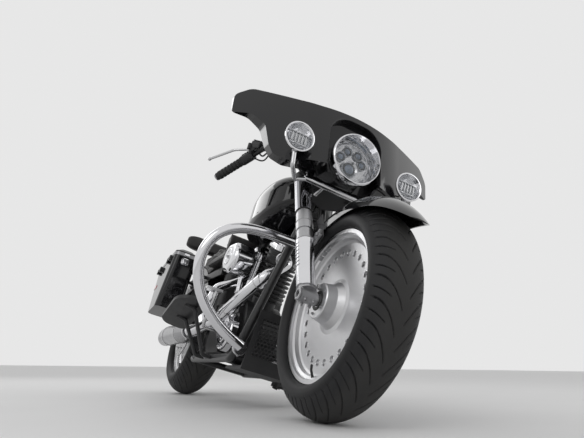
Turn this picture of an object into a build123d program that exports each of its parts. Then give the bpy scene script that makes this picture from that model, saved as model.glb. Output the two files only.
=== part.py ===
from build123d import *
import os
from math import cos, radians, sin, tan

# Cruiser motorcycle with a fork-mounted fairing, disc wheels, engine guard and saddlebags.
# Millimetres. The bike frame has x forward from the rear axle, y to the rider's left and z up;
# the finished bike is leaned to its left about the x axis, onto its side stand.

# Stance
LEAN = 15.0
WHEELBASE = 1635.0
RAKE = 32.0
STEM_OFFSET = 46.0
FIT = 0.05
SEAT_GAP = 0.3
PANEL_GAP = 0.6
CONSOLE_LIFT = 1.1

# Wheels and tyres
RIM_R = 233.0
BEAD_R = 218.0
RIM_HALF = 60.0
FLANGE = 5.5
WEB_Y = -32.0
WEB_T = 10.0
HOLE_COUNT = 26
HOLE_R = 9.0
HOLE_PITCH_R = 167.0
FRONT_TYRE_R = 320.0
FRONT_TYRE_HALF = 83.0
FRONT_CROWN = 85.0
REAR_TYRE_R = 325.0
REAR_TYRE_HALF = 90.0
REAR_CROWN = 95.0
AXLE_R = 12.5
AXLE_BORE_R = 8.0
AXLE_BORE_DEPTH = 60.0
FRONT_HUB_RIGHT = 86.0
FRONT_HUB_LEFT = 70.0
REAR_HUB = 92.0
SPACER_R = 18.0
ROTOR_R = 146.0
ROTOR_T = 5.0
FRONT_ROTOR_Y = 76.0
REAR_ROTOR_Y = -80.0
DISC_GAP = 5.2
CALIPER_FACE = 95.0

# Fork, measured along the leg from the front axle
FORK_Y = 122.0
STANCHION_R = 20.5
SLIDER_R = 27.5
SLIDER_TOP = 383.0
BOSS_R = 21.0
BOSS_OUT = 147.0
CAN_R = 30.5
CAN_WALL = 2.0
COVER_WALL = 3.5
COVER_TOP = 226.0
COVER_LOW = 26.0
SLOT_COUNT = 7
LOWER_CLAMP = 550.0
LOWER_CLAMP_T = 36.0
UPPER_CLAMP = 742.0
UPPER_CLAMP_T = 24.0
STEM_R = 13.0
NECK_R = 30.0
NECK_GAP = 6.0

# Bars and grips
BAR_R = 12.7
RISER_X = -50.0
GRIP_R = 16.5
GRIP_IN = (WHEELBASE - 635.0, 285.0, 940.0)
GRIP_OUT = (WHEELBASE - 735.0, 345.0, 875.0)
LEVER_TIP = (WHEELBASE - 710.0, 408.0, 922.0)
LEVER_R = 5.5
LEVER_BALL_R = 8.0
MIRROR_R = 4.2
MIRROR_DEPTH = 14.0
MIRROR_TOP = 34.0
MIRROR_AT = (38.0, 24.0)

# Fairing
FAIRING_WALL = 5.0
FAIRING_SLOPE = 0.30
FAIRING_BACK = 44.0
SKIN_X = (WHEELBASE - 165.0, WHEELBASE - 223.0, WHEELBASE - 279.0, WHEELBASE - 347.0)
SHOULDER_Y = 222.0
FLANK_Y = 330.0
SKIN_HALF = 450.0
SKIN_DATUM = 950.0
HOOD_HALF = 113.0
HOOD_TOP = 1064.0
HOOD_R = 85.0
DUCT_X = WHEELBASE - 231.0
BUCKET_R = 85.0
HEADLAMP = (WHEELBASE - 158.0, 892.0)
HEADLAMP_R = 97.0
FOG = (WHEELBASE - 143.0, 228.0, 878.0)
FOG_R = 55.0
FOG_DEPTH = 38.0
LAMP_WALL = 3.0
LAMP_BAR = (WHEELBASE - 215.0, 774.0)
FAIRING_OUTLINE = [
    # Half outline from the top middle round the wing to the hood: y, z, corner radius
    (0.0, 1078.0, 0.0), (150.0, 1086.0, 60.0), (395.0, 1106.0, 45.0), (448.0, 1062.0, 40.0),
    (444.0, 970.0, 14.0), (376.0, 978.0, 40.0), (326.0, 938.0, 40.0), (304.0, 850.0, 60.0),
    (284.0, 808.0, 24.0), (236.0, 796.0, 30.0), (168.0, 818.0, 30.0), (100.0, 826.0, 0.0)]

# Frame and engine
TUBE_R = 16.0
RAIL_Y = 125.0
RAIL_Z = 150.0
CROSS_R = 14.0
RAIL_FRONT = WHEELBASE - 523.0
DOWNTUBE = [(WHEELBASE - 401.0, 14.0, 832.0), (WHEELBASE - 419.0, 62.0, 577.0),
            (WHEELBASE - 467.0, 114.0, 262.0)]
SWING_X = 470.0
SWING_Z = 300.0
SWING_R = 12.0
ARM_R = 15.0
ARM_RIGHT = 132.0
ARM_LEFT = 148.0
BACKBONE_R = 22.0
CRANK = (870.0, 300.0)
VEE = 22.5
FIN_COUNT = 12
CYLINDER_R = 50.0
FIN_R = 74.0
LIFTER_TOP = 372.0
CAM_OUT = 124.0
PRIMARY_OUT = 150.0
INTAKE_OUT = 44.0
INTAKE_Z = 572.0
PORT_R = 330.0
PORT_OUT = 78.0
HEADER_R = 22.0
MUFFLER_R = 46.0
MUFFLER_Z = 250.0
MUFFLER_FRONT = 616.0
MUFFLER_REAR = 60.0

# Belt drive
BELT_Y = 100.0
BELT_W = 24.0
BELT_T = 5.0
FRONT_PULLEY_R = 48.0
REAR_PULLEY_R = 104.0

# Tank
TANK_FRONT = WHEELBASE - 469.0
TANK_REAR = 636.0
TANK_SECTIONS = [
    # Share of the way from rear to front, half width, bottom z, top z, top radius, bottom radius
    (1.0, 62.0, 800.0, 872.0, 30.0, 18.0), (0.894, 124.0, 752.0, 922.0, 76.0, 30.0),
    (0.658, 154.0, 712.0, 940.0, 106.0, 40.0), (0.366, 138.0, 706.0, 916.0, 92.0, 38.0),
    (0.121, 92.0, 716.0, 858.0, 62.0, 26.0), (0.0, 52.0, 736.0, 808.0, 32.0, 16.0)]

# Front fender
FENDER_AHEAD = 17.0
FENDER_BELOW = 53.0
FENDER_R = FRONT_TYRE_R + 80.0
FENDER_SHEET = 3.5
ARCH_HALF = 92.0
ARCH_RISE = 70.0
ARCH_SKIRT = 130.0
SKIRT_R = FRONT_TYRE_R - 70.0
FENDER_TIP = 34.0
FENDER_END = 150.0

# Rear fender and struts
FENDER_OUT = 352.0
FENDER_WALL = 3.5
FENDER_HALF = 104.0
STRUT_T = 9.0
STRUT_OUTLINE = [(520.0, 566.0), (520.0, 606.0), (120.0, 606.0), (-150.0, 572.0), (-150.0, 540.0),
                 (120.0, 572.0)]
DOCKS = [(240.0, 588.0), (40.0, 574.0)]
DOCK_R = 9.0
PAD_HALF = 235.0
PAD_LOW = 776.0
PAD_TOP = 870.0

# Engine guard
GUARD_R = 19.0
GUARD_X = WHEELBASE - 445.0
GUARD_TOP = 591.0
GUARD_LOW = (132.0, 187.0)
GUARD_CURVE = [
    # Right half of the hoop from the middle of its top bar: y, z
    (0.0, GUARD_TOP), (150.0, 589.0), (270.0, 572.0), (345.0, 521.0), (373.0, 433.0),
    (352.0, 353.0), (301.0, 283.0), (194.0, 212.0), GUARD_LOW]

# Floorboards
BOARD = (810.0, 290.0)
BOARD_IN = 232.0
BOARD_OUT = 352.0
BOARD_PITCH = 20.0
BOARD_T = 14.0
BRACKET_X = (775.0, 880.0)

# Saddlebags, drawn in a frame that hangs from the lid seam's front end and tilts down to the rear
BAG_FRONT = 300.0
BAG_TOP = 640.0
BAG_TILT = 9.5
BAG_DEPTH = 270.0
BAG_LENGTH = 365.0
BAG_LOW_FRONT = 55.0
BAG_LOW_REAR = 228.0
BAG_IN = 200.0
BAG_OUT = 320.0
BAG_OUT_LOW = 332.0
BAG_WALL = 6.0
BAG_CORNER = 26.0
LID_RISE = 46.0
HINGE_R = 6.5
HINGE_PIN = 3.0
HINGE_OUT = BAG_OUT + 8.0
HINGE_UP = 5.0
HINGES = (-290.0, -90.0)

# Side stand
STAND_PIVOT = (960.0, 130.0, 116.0)
STAND_FOOT = (1110.0, 300.0)
STAND_FOLDED = (740.0, 178.0, 112.0)
STAND_PIN = 6.0
STAND_EYE = 12.0

STRUT_Y = FENDER_HALF + SEAT_GAP
LEAN_TAN = tan(radians(LEAN))
FRONT_AXLE_Z = FRONT_TYRE_R - FRONT_CROWN + FRONT_CROWN / cos(radians(LEAN))
REAR_AXLE_Z = REAR_TYRE_R - REAR_CROWN + REAR_CROWN / cos(radians(LEAN))
FRONT_AXLE = (WHEELBASE, 0.0, FRONT_AXLE_Z)
REAR_AXLE = (0.0, 0.0, REAR_AXLE_Z)
SR = sin(radians(RAKE))
CR = cos(radians(RAKE))
FORK = Plane(origin=FRONT_AXLE, x_dir=(CR, 0, SR), z_dir=(-SR, 0, CR))


# Helpers

def fork_point(x, y, s):
    return Vector(*FRONT_AXLE) + Vector(CR * x - SR * s, y, SR * x + CR * s)


def in_fork(shape):
    return FORK.location * shape


def mirrored(shape):
    return mirror(shape, about=Plane.XZ)


def both_sides(shape):
    return [shape, mirrored(shape)]


def rod(a, b, r, bore=0.0):
    a = Vector(*a)
    b = Vector(*b)
    plane = Plane(origin=a, z_dir=b - a)
    bar = Solid.make_cylinder(r, (b - a).length, plane)
    if bore:
        bar = bar - Solid.make_cylinder(bore, (b - a).length, plane)
    return bar


def cone(a, b, r_a, r_b):
    a = Vector(*a)
    b = Vector(*b)
    return Solid.make_cone(r_a, r_b, (b - a).length, Plane(origin=a, z_dir=b - a))


def bent(points, r, bends, wall=0.0):
    path = FilletPolyline(*points, radius=bends)
    start = Plane(origin=path @ 0, z_dir=path % 0)
    tube = sweep(start * Circle(r), path=path)
    if wall:
        tube = tube - sweep(start * Circle(r - wall), path=path)
    return tube


def box(x0, x1, y0, y1, z0, z1):
    corner = Box(x1 - x0, y1 - y0, z1 - z0, align=(Align.MIN, Align.MIN, Align.MIN))
    return Pos(x0, y0, z0) * corner


def turned(centre, profile):
    """Turn an outline of (y, radius) points about the y direction through a centre."""
    cx, _, cz = centre
    wire = Polyline(*[(cx, y, cz + r) for y, r in profile], close=True)
    return revolve(make_face(wire), Axis((cx, 0, cz), (0, 1, 0)))


def panel(points, y0, y1):
    """Extrude a side-view outline of (x, z) points from y0 to y1."""
    wire = Polyline(*[(x, y0, z) for x, z in points], close=True)
    return extrude(make_face(wire), amount=y1 - y0, dir=(0, 1, 0))


# Wheels

def tyre(centre, outer, half, crown):
    cx, _, cz = centre
    lip = RIM_HALF - FLANGE - SEAT_GAP
    a = radians(60.0)
    shoulder = (crown * sin(a), outer - crown + crown * cos(a))
    wide = (half, BEAD_R + 0.40 * (outer - BEAD_R))
    foot = (lip, RIM_R + 3.0)
    seat = BEAD_R + SEAT_GAP

    def at(y, r):
        return (cx, y, cz + r)

    crown_mid = (crown * sin(a / 2), outer - crown + crown * cos(a / 2))
    edges = [ThreePointArc(at(-shoulder[0], shoulder[1]), at(0, outer), at(*shoulder)),
             ThreePointArc(at(*shoulder), at(*wide), at(*foot)),
             Polyline(at(*foot), at(lip, seat), at(-lip, seat), at(-foot[0], foot[1])),
             ThreePointArc(at(-foot[0], foot[1]), at(-wide[0], wide[1]),
                           at(-shoulder[0], shoulder[1]))]
    return revolve(make_face(edges), Axis((cx, 0, cz), (0, 1, 0)))


def wheel(centre, hub_right, hub_left, bore):
    """Cast disc wheel: barrel and flanges, a web near the right side with round holes, and a hub."""
    barrel = turned(centre, [
        (-RIM_HALF, RIM_R), (-RIM_HALF + FLANGE, RIM_R), (-RIM_HALF + FLANGE, BEAD_R),
        (RIM_HALF - FLANGE, BEAD_R), (RIM_HALF - FLANGE, RIM_R), (RIM_HALF, RIM_R),
        (RIM_HALF, RIM_R - 13), (RIM_HALF - 8, RIM_R - 20), (WEB_Y + WEB_T + 4, 203),
        (WEB_Y + WEB_T, 199), (WEB_Y + WEB_T, 80), (WEB_Y, 80), (WEB_Y, 199),
        (WEB_Y - 4, 205), (-RIM_HALF + 12, 209), (-RIM_HALF + 8, RIM_R - 15),
        (-RIM_HALF, RIM_R - 12)])
    hub = turned(centre, [
        (-hub_right, bore), (-hub_right, 51), (-hub_right + 3, 54), (WEB_Y - 22, 60), (WEB_Y - 4, 72),
        (WEB_Y + 2, 90), (WEB_Y + WEB_T, 90), (WEB_Y + WEB_T + 14, 52), (hub_left - 16, 44),
        (hub_left - 10, 66), (hub_left, 66), (hub_left, bore)])
    cx, _, cz = centre
    cutters = []
    for i in range(HOLE_COUNT):
        a = radians(360.0 * i / HOLE_COUNT)
        x = cx + HOLE_PITCH_R * cos(a)
        z = cz + HOLE_PITCH_R * sin(a)
        cutters.append(rod((x, WEB_Y - 5, z), (x, WEB_Y + WEB_T + 5, z), HOLE_R))
    return (barrel + hub) - cutters


def rotor(centre, y, hub):
    """Brake disc with a carrier flange that seats on the hub."""
    disc = turned(centre, [(y, 105), (y, ROTOR_R), (y + ROTOR_T, ROTOR_R), (y + ROTOR_T, 105)])
    side = 1 if y > 0 else -1
    inner = hub + side * SEAT_GAP
    carrier = turned(centre, [(inner, 40), (inner, 64), (y + (0 if side > 0 else ROTOR_T), 106),
                              (y + (ROTOR_T if side > 0 else 0), 106),
                              (inner + side * 7, 60), (inner + side * 7, 40)])
    return disc + carrier


# Fork

def axle(centre, y_right, y_left, hub_right, hub_left, inner_right, inner_left):
    """Hollow-ended axle with the spacers that fill from the hub to the fork or swingarm."""
    spindle = turned(centre, [
        (-y_right, AXLE_BORE_R), (-y_right, AXLE_R), (-inner_right + FIT, AXLE_R),
        (-inner_right + FIT, SPACER_R), (-hub_right - SEAT_GAP, SPACER_R), (-hub_right - SEAT_GAP, AXLE_R),
        (hub_left + SEAT_GAP, AXLE_R), (hub_left + SEAT_GAP, SPACER_R), (inner_left - FIT, SPACER_R),
        (inner_left - FIT, AXLE_R), (y_left, AXLE_R), (y_left, AXLE_BORE_R),
        (y_left - AXLE_BORE_DEPTH, AXLE_BORE_R), (y_left - AXLE_BORE_DEPTH, 0),
        (-y_right + AXLE_BORE_DEPTH, 0), (-y_right + AXLE_BORE_DEPTH, AXLE_BORE_R)])
    return spindle


def fork_sliders():
    lugs = []
    for side in (-1, 1):
        leg = Pos(0, side * FORK_Y, 0) * Cylinder(SLIDER_R, SLIDER_TOP - 18,
                                                  align=(Align.CENTER, Align.CENTER, Align.MIN))
        leg = Pos(0, 0, 18) * leg
        collar = Pos(0, side * FORK_Y, 300) * Cylinder(SLIDER_R + 1.2, 40)
        boss = rod((0, side * 97, 0), (0, side * BOSS_OUT, 0), BOSS_R)
        foot = box(-17, 17, min(side * 97, side * 143), max(side * 97, side * 143), 0, 30)
        lug = box(10, 62, min(side * 92.3, side * 103), max(side * 92.3, side * 103), 222, 246)
        solid = leg + collar + boss + foot + lug
        if side > 0:
            solid += box(-74, -10, CALIPER_FACE + SEAT_GAP, CALIPER_FACE + 10, 80, 128)
        solid -= Pos(0, side * FORK_Y, 60) * Cylinder(STANCHION_R + FIT, 400,
                                                      align=(Align.CENTER, Align.CENTER, Align.MIN))
        solid -= rod((0, side * 80, 0), (0, side * 160, 0), AXLE_R + FIT)
        lugs.append(solid)
    return Compound([in_fork(s) for s in lugs])


def fork_tubes():
    tubes = [rod(fork_point(0, side * FORK_Y, 62), fork_point(0, side * FORK_Y, UPPER_CLAMP + 30),
                 STANCHION_R) for side in (-1, 1)]
    return Compound(tubes)


def fork_cans():
    cans = []
    for side in (-1, 1):
        low = fork_point(0, side * FORK_Y, SLIDER_TOP - 6)
        high = fork_point(0, side * FORK_Y, LOWER_CLAMP - SEAT_GAP)
        top = fork_point(0, side * FORK_Y, LOWER_CLAMP - 12)
        can = rod(low, high, CAN_R, CAN_R - CAN_WALL)
        can += rod(top, high, CAN_R, STANCHION_R + FIT)
        cans.append(can)
    return Compound(cans)


def fork_covers():
    """Chrome half-shell over each slider's foot, louvred down its outer side."""
    covers = []
    for side in (-1, 1):
        shell = Pos(0, side * FORK_Y, COVER_LOW) * (
            Cylinder(SLIDER_R + SEAT_GAP + COVER_WALL, COVER_TOP - COVER_LOW,
                     align=(Align.CENTER, Align.CENTER, Align.MIN))
            - Cylinder(SLIDER_R + SEAT_GAP, COVER_TOP - COVER_LOW,
                       align=(Align.CENTER, Align.CENTER, Align.MIN)))
        inboard = side * (FORK_Y - 14)
        shell -= box(-60, 60, min(0, inboard), max(0, inboard), 0, COVER_TOP + 10)
        shell -= rod((0, side * 90, 0), (0, side * 170, 0), BOSS_R + 12)
        for i in range(SLOT_COUNT):
            z = COVER_TOP - 22 - 16 * i
            slot_y = side * (FORK_Y + SLIDER_R - 4)
            shell -= box(-22, 12, min(slot_y, slot_y + side * 14), max(slot_y, slot_y + side * 14),
                         z, z + 6)
        covers.append(in_fork(shell))
    return Compound(covers)


def triple_clamps():
    """Lower and upper clamps round both tubes, joined by the steering stem."""
    plates = []
    for s, thick in ((LOWER_CLAMP, LOWER_CLAMP_T), (UPPER_CLAMP, UPPER_CLAMP_T)):
        rings = [Pos(0, FORK_Y) * Circle(STANCHION_R + 11), Pos(0, -FORK_Y) * Circle(STANCHION_R + 11),
                 Pos(-STEM_OFFSET, 0) * Circle(28)]
        hull = make_hull(Sketch(rings).edges())
        plate = extrude(Pos(0, 0, s) * hull, amount=thick)
        for side in (-1, 1):
            plate -= Pos(0, side * FORK_Y, s + thick / 2) * Cylinder(STANCHION_R + FIT, thick + 2)
        plates.append(plate)
    stem_low = Pos(-STEM_OFFSET, 0, LOWER_CLAMP + 10)
    stem = stem_low * Cylinder(STEM_R, UPPER_CLAMP - LOWER_CLAMP,
                               align=(Align.CENTER, Align.CENTER, Align.MIN))
    posts = [rod((STANCHION_R + 10, side * 60, s), (FAIRING_BACK - SEAT_GAP, side * 60, s), 8)
             for side in (-1, 1) for s in (LOWER_CLAMP + LOWER_CLAMP_T / 2, UPPER_CLAMP + UPPER_CLAMP_T / 2)]
    return in_fork(plates[0] + stem + plates[1] + posts)


def front_axle():
    return axle(FRONT_AXLE, 150, 150, FRONT_HUB_RIGHT, FRONT_HUB_LEFT, 97, 97)


def caliper(centre, y, angle, reach):
    """Brake caliper over the disc's rim, at an angle round the axle."""
    body = box(ROTOR_R - 46, ROTOR_R + 16, -reach[0], ROTOR_T + reach[1], -48, 48)
    body = fillet(body.edges().filter_by(Axis.Y), 10)
    body -= box(ROTOR_R - 60, ROTOR_R + DISC_GAP, -DISC_GAP, ROTOR_T + DISC_GAP, -60, 60)
    cx, _, cz = centre
    return Pos(cx, y, cz) * Rot(0, -angle, 0) * body


def front_caliper():
    return caliper(FRONT_AXLE, FRONT_ROTOR_Y, 160.0, (22, CALIPER_FACE - FRONT_ROTOR_Y - ROTOR_T))


# Front fender

def fender_point(r, a):
    """A point at a radius and an angle in degrees round the front axle, in the middle plane."""
    return (WHEELBASE + r * cos(radians(a)), 0, FRONT_AXLE_Z + r * sin(radians(a)))


def fender_form(inset):
    """Arched section turned about a centre ahead of and below the axle, so that the tip stands off."""
    cx = WHEELBASE + FENDER_AHEAD
    cz = FRONT_AXLE_Z - FENDER_BELOW
    top = FENDER_R - inset
    half = ARCH_HALF - inset
    edge = FENDER_R - ARCH_RISE
    low = edge - ARCH_SKIRT
    edges = [ThreePointArc((cx, -half, cz + edge), (cx, 0, cz + top), (cx, half, cz + edge)),
             Polyline((cx, half, cz + edge), (cx, half, cz + low), (cx, -half, cz + low),
                      (cx, -half, cz + edge))]
    return revolve(make_face(edges), Axis((cx, 0, cz), (0, 1, 0)))


def front_fender():
    """Shell cut to its side outline, with a tab down to the lug on each fork leg."""
    tip = fender_point(420, FENDER_TIP)
    under = fender_point(FRONT_TYRE_R + 56, FENDER_TIP)
    near = fender_point(SKIRT_R, 100)
    rear = fender_point(SKIRT_R, FENDER_END)
    far = fender_point(420, FENDER_END)
    side = [Line(tip, under), ThreePointArc(under, fender_point(SKIRT_R + 40, 66), near),
            ThreePointArc(near, fender_point(SKIRT_R, (100 + FENDER_END) / 2), rear), Line(rear, far),
            ThreePointArc(far, fender_point(520, (FENDER_TIP + FENDER_END) / 2), tip)]
    shell = fender_form(0) - fender_form(FENDER_SHEET)
    shell &= extrude(make_face(side), amount=ARCH_HALF + 10, both=True)
    for side in (-1, 1):
        y0 = min(side * (ARCH_HALF - FENDER_SHEET), side * ARCH_HALF)
        shell += in_fork(box(24, 66, y0, y0 + FENDER_SHEET, 216, 320))
    return shell


# Fairing

def skin_profile(inset):
    """Plan outline of everything behind the fairing's skin, drawn in by an inset."""
    front, shoulder, flank, tip = (x - inset for x in SKIN_X)
    back = tip - 400
    half = SKIN_HALF
    return [ThreePointArc((shoulder, -SHOULDER_Y, 0), (front, 0, 0), (shoulder, SHOULDER_Y, 0)),
            ThreePointArc((shoulder, SHOULDER_Y, 0), (flank, FLANK_Y, 0), (tip, half, 0)),
            Polyline((tip, half, 0), (back, half, 0), (back, -half, 0), (tip, -half, 0)),
            ThreePointArc((tip, -half, 0), (flank, -FLANK_Y, 0), (shoulder, -SHOULDER_Y, 0))]


def outline_face(inset):
    right = [(-y, z) for y, z, _ in reversed(FAIRING_OUTLINE[1:])]
    left = [(y, z) for y, z, _ in FAIRING_OUTLINE[1:]]
    face = make_face(Polyline(*[(0, y, z) for y, z in right + left], close=True))
    radii = {(abs(y), z): r for y, z, r in FAIRING_OUTLINE}
    for corner in face.vertices():
        r = radii.get((round(abs(corner.Y), 3), round(corner.Z, 3)), 0)
        if r:
            near = [v for v in face.vertices() if (v.center() - corner.center()).length < 0.01]
            face = fillet(near, r)
    if inset:
        face = offset(face, -inset, kind=Kind.INTERSECTION)
    return face


def fairing_solid(inset, back):
    wing = extrude(outline_face(inset), amount=WHEELBASE + 200, dir=(1, 0, 0))
    lift = 600.0
    plan = Pos(FAIRING_SLOPE * (SKIN_DATUM - lift), 0, lift) * make_face(skin_profile(inset))
    skin = extrude(plan, amount=800, dir=(-FAIRING_SLOPE, 0, 1))
    solid = wing & skin
    keep = in_fork(box(back, back + 600, -600, 600, 200, 1100))
    return solid & keep


def hood_cut(inset, x0, x1):
    half = HOOD_HALF - inset
    plan = Plane(origin=(x0, 0, 0), x_dir=(0, 1, 0), z_dir=(1, 0, 0))
    face = Pos(0, HOOD_TOP - 150 - inset) * Rectangle(2 * half, 300)
    face = fillet(face.vertices().group_by(Axis.Y)[-1], HOOD_R - inset)
    return extrude(plan * face, amount=x1 - x0)


def fairing():
    shell = fairing_solid(0, FAIRING_BACK) - fairing_solid(FAIRING_WALL, FAIRING_BACK - 5)
    ahead = WHEELBASE
    shell -= hood_cut(4, DUCT_X - 9, ahead)
    duct = hood_cut(0, DUCT_X, ahead) - hood_cut(4, DUCT_X - 5, ahead + 5)
    duct &= fairing_solid(0, FAIRING_BACK)
    x, z = HEADLAMP
    back = hood_cut(2, DUCT_X, DUCT_X + 4) & box(DUCT_X, DUCT_X + 4, -200, 200, z - BUCKET_R - 5, 1100)
    back -= rod((DUCT_X - 5, 0, z), (DUCT_X + 10, 0, z), BUCKET_R + SEAT_GAP)
    return shell + duct + back


# Lamps

def turned_x(cx, cy, cz, profile):
    """Turn an outline of (x, radius) points about the x direction through a centre."""
    points = []
    for x, r in profile:
        point = (cx + x, cy, cz + r)
        if not points or point != points[-1]:
            points.append(point)
    return revolve(make_face(Polyline(*points, close=True)), Axis((cx, cy, cz), (1, 0, 0)))


def headlamp():
    """Bucket with a deep ring and an open reflector bowl, down to a small lamp seat."""
    x, z = HEADLAMP
    return turned_x(x, 0, z, [
        (-90, 0), (-90, 30), (-78, BUCKET_R - 12), (-72, BUCKET_R), (-40, BUCKET_R),
        (-30, HEADLAMP_R - 6), (-8, HEADLAMP_R - 4), (-8, HEADLAMP_R), (14, HEADLAMP_R),
        (18, HEADLAMP_R - 4), (16, HEADLAMP_R - 7), (-4, 84), (-14, 80), (-30, 76), (-52, 62),
        (-68, 38), (-74, 0)])


def headlamp_lens():
    x, z = HEADLAMP
    return turned_x(x, 0, z, [(-11.7, 0), (-11.7, 79.0), (-8, 80.0), (-5, 0)])


def fog_lamps():
    lamps = []
    x, y, z = FOG
    for side in (-1, 1):
        lamps.append(turned_x(x, side * y, z, [
            (-FOG_DEPTH, 0), (-FOG_DEPTH, 20), (-28, 40), (-8, FOG_R - 3), (-6, FOG_R), (0, FOG_R),
            (0, FOG_R - 7), (-8, FOG_R - 8), (-18, 38), (-26, 26), (-30, 0)]))
    return Compound(lamps)


def fog_lenses():
    x, y, z = FOG
    disc = [(-7.7, 0), (-7.7, FOG_R - 8.6), (-2, FOG_R - 8.6), (0, 0)]
    return Compound([turned_x(x, side * y, z, disc) for side in (-1, 1)])


def lamp_bar():
    """Cross bar with swept ends up to the fog lamps and two struts down to the lower clamp."""
    bx, bz = LAMP_BAR
    fx, fy, fz = FOG
    bar = rod((bx, -150, bz), (bx, 150, bz), 9.5)
    for side in (-1, 1):
        bar += bent([(bx, side * 140, bz), (bx + 4, side * 185, bz - 20), (fx - 20, side * (fy - 8), bz),
                     (fx - 18, side * fy, fz - FOG_R + 4.2)], 8, 12)
        low = fork_point(-4, side * 66, LOWER_CLAMP - 24)
        bar += rod((bx, side * 70, bz), low, 8) + Pos(low) * Sphere(9)
        bar += rod(low, fork_point(-4, side * 66, LOWER_CLAMP - SEAT_GAP), 9)
    return bar


# Bars

def along_grip(t, side):
    a = Vector(*GRIP_IN)
    b = Vector(*GRIP_OUT)
    p = a + (b - a) * t
    return Vector(p.X, side * p.Y, p.Z)


def handlebar():
    top = fork_point(RISER_X, 0, UPPER_CLAMP + 66)
    elbow = along_grip(-0.95, 1)
    half = [Vector(*GRIP_OUT), elbow, Vector(top.X, 95, top.Z)]
    other = [Vector(p.X, -p.Y, p.Z) for p in reversed(half)]
    bar = bent(half + other, BAR_R, [40, 60, 60, 40])
    for side in (-1, 1):
        low = fork_point(RISER_X, side * 38, UPPER_CLAMP + UPPER_CLAMP_T + SEAT_GAP)
        high = fork_point(RISER_X, side * 38, UPPER_CLAMP + 66)
        bar += rod(low, high, 14)
        bar += rod((high.X, side * 24, high.Z), (high.X, side * 52, high.Z), 21)
    return bar


def grips():
    out = []
    for side in (-1, 1):
        a = along_grip(0.0, side)
        b = along_grip(1.03, side)
        length = (b - a).length
        profile = [(0, BAR_R + FIT), (0, 19.5), (6, 19.5), (6, GRIP_R)]
        for i in range(7):
            z = 14 + i * 17
            profile += [(z, GRIP_R), (z, GRIP_R + 2), (z + 9, GRIP_R + 2), (z + 9, GRIP_R)]
        profile += [(length, GRIP_R), (length, 0), (length - 3, 0), (length - 3, BAR_R + FIT)]
        face = make_face(Polyline(*[(r, 0, z) for z, r in profile], close=True))
        solid = revolve(face, Axis.Z)
        out.append(Plane(origin=a, z_dir=b - a).location * solid)
    return Compound(out)


# Whole bike, one function for each piece, and the lean

def leaned(shape):
    return Rot(-LEAN, 0, 0) * shape


def rear_axle():
    return axle(REAR_AXLE, 158, 158, REAR_HUB, REAR_HUB + 30, 124, 140)


def spine(grow=0.0):
    high = fork_point(-STEM_OFFSET, 0, LOWER_CLAMP + 84)
    return bent([(high.X - 12, 0, high.Z), (735, 0, 738), (556, 0, 604), (466, 0, 592)],
                BACKBONE_R + grow, [160, 120])


def frame():
    neck_low = fork_point(-STEM_OFFSET, 0, LOWER_CLAMP + LOWER_CLAMP_T + NECK_GAP)
    neck_high = fork_point(-STEM_OFFSET, 0, UPPER_CLAMP - NECK_GAP)
    neck = rod(neck_low, neck_high, NECK_R)
    cradle = bent([*DOWNTUBE, (RAIL_FRONT, RAIL_Y, RAIL_Z), (556, RAIL_Y, RAIL_Z), (SWING_X, 70, 208),
                   (SWING_X, 70, 430), (496, 60, 592)], TUBE_R, [200, 150, 60, 30, 30, 60])
    cross = [rod((480, -STRUT_Y + SEAT_GAP, 590), (480, STRUT_Y - SEAT_GAP, 590), 14),
             rod((1060, -RAIL_Y, RAIL_Z), (1060, RAIL_Y, RAIL_Z), CROSS_R),
             rod((590, -RAIL_Y, RAIL_Z), (590, RAIL_Y, RAIL_Z), CROSS_R)]
    bosses = [rod((SWING_X, side * 54, SWING_Z), (SWING_X, side * 88, SWING_Z), 25) for side in (-1, 1)]
    pivot, foot, turn = stand_geometry()
    lug = rod(pivot + turn * (STAND_EYE + SEAT_GAP), pivot + turn * 28, 18)
    pin = rod(pivot - turn * 18, pivot + turn * 20, STAND_PIN)
    pin += rod(pivot - turn * 18, pivot - turn * (STAND_EYE + SEAT_GAP), 11)
    solid = neck + spine() + cradle + mirrored(cradle) + cross + bosses + lug + pin
    solid -= rod((SWING_X, -112, SWING_Z), (SWING_X, 112, SWING_Z), SWING_R + FIT)
    bore_low = fork_point(-STEM_OFFSET, 0, LOWER_CLAMP)
    bore_high = fork_point(-STEM_OFFSET, 0, UPPER_CLAMP + 30)
    return solid - rod(bore_low, bore_high, STEM_R + FIT)


def swingarm():
    arms = []
    for side in (-1, 1):
        y = -ARM_RIGHT if side < 0 else ARM_LEFT
        arm = bent([(SWING_X, side * 108, SWING_Z), (SWING_X - 70, y, SWING_Z + 3), (26, y, REAR_AXLE_Z)],
                   ARM_R, 40)
        end = turned(REAR_AXLE, [(min(y - 8, y + 8), 0), (min(y - 8, y + 8), 30), (max(y - 8, y + 8), 30),
                                 (max(y - 8, y + 8), 0)])
        arms.append(arm + end)
    pivot = rod((SWING_X, -112, SWING_Z), (SWING_X, 112, SWING_Z), SWING_R)
    solid = arms[0] + arms[1] + pivot
    return solid - rod((0, -170, REAR_AXLE_Z), (0, 170, REAR_AXLE_Z), AXLE_R + FIT)


def inner_fairing():
    """Dash panel that closes the fairing's back, parallel to the fork."""
    slab = in_fork(box(FAIRING_BACK, FAIRING_BACK + 4, -600, 600, 200, 1100))
    return fairing_solid(FAIRING_WALL + PANEL_GAP, FAIRING_BACK) & slab


def lever_path(side, grow=0.0):
    """Hand lever from its pivot in the perch to the ball at its tip, ahead of the grip."""
    c = along_grip(-0.30, side)
    x, y, z = LEVER_TIP
    tip = Vector(x, side * y, z)
    start = Vector(c.X + 34, c.Y + side * 18, c.Z + 12)
    mid = start + (tip - start) * 0.35 + Vector(14, side * 10, 4)
    return bent([start, mid, tip], LEVER_R + grow, 60) + Pos(tip) * Sphere(LEVER_BALL_R)


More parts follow.
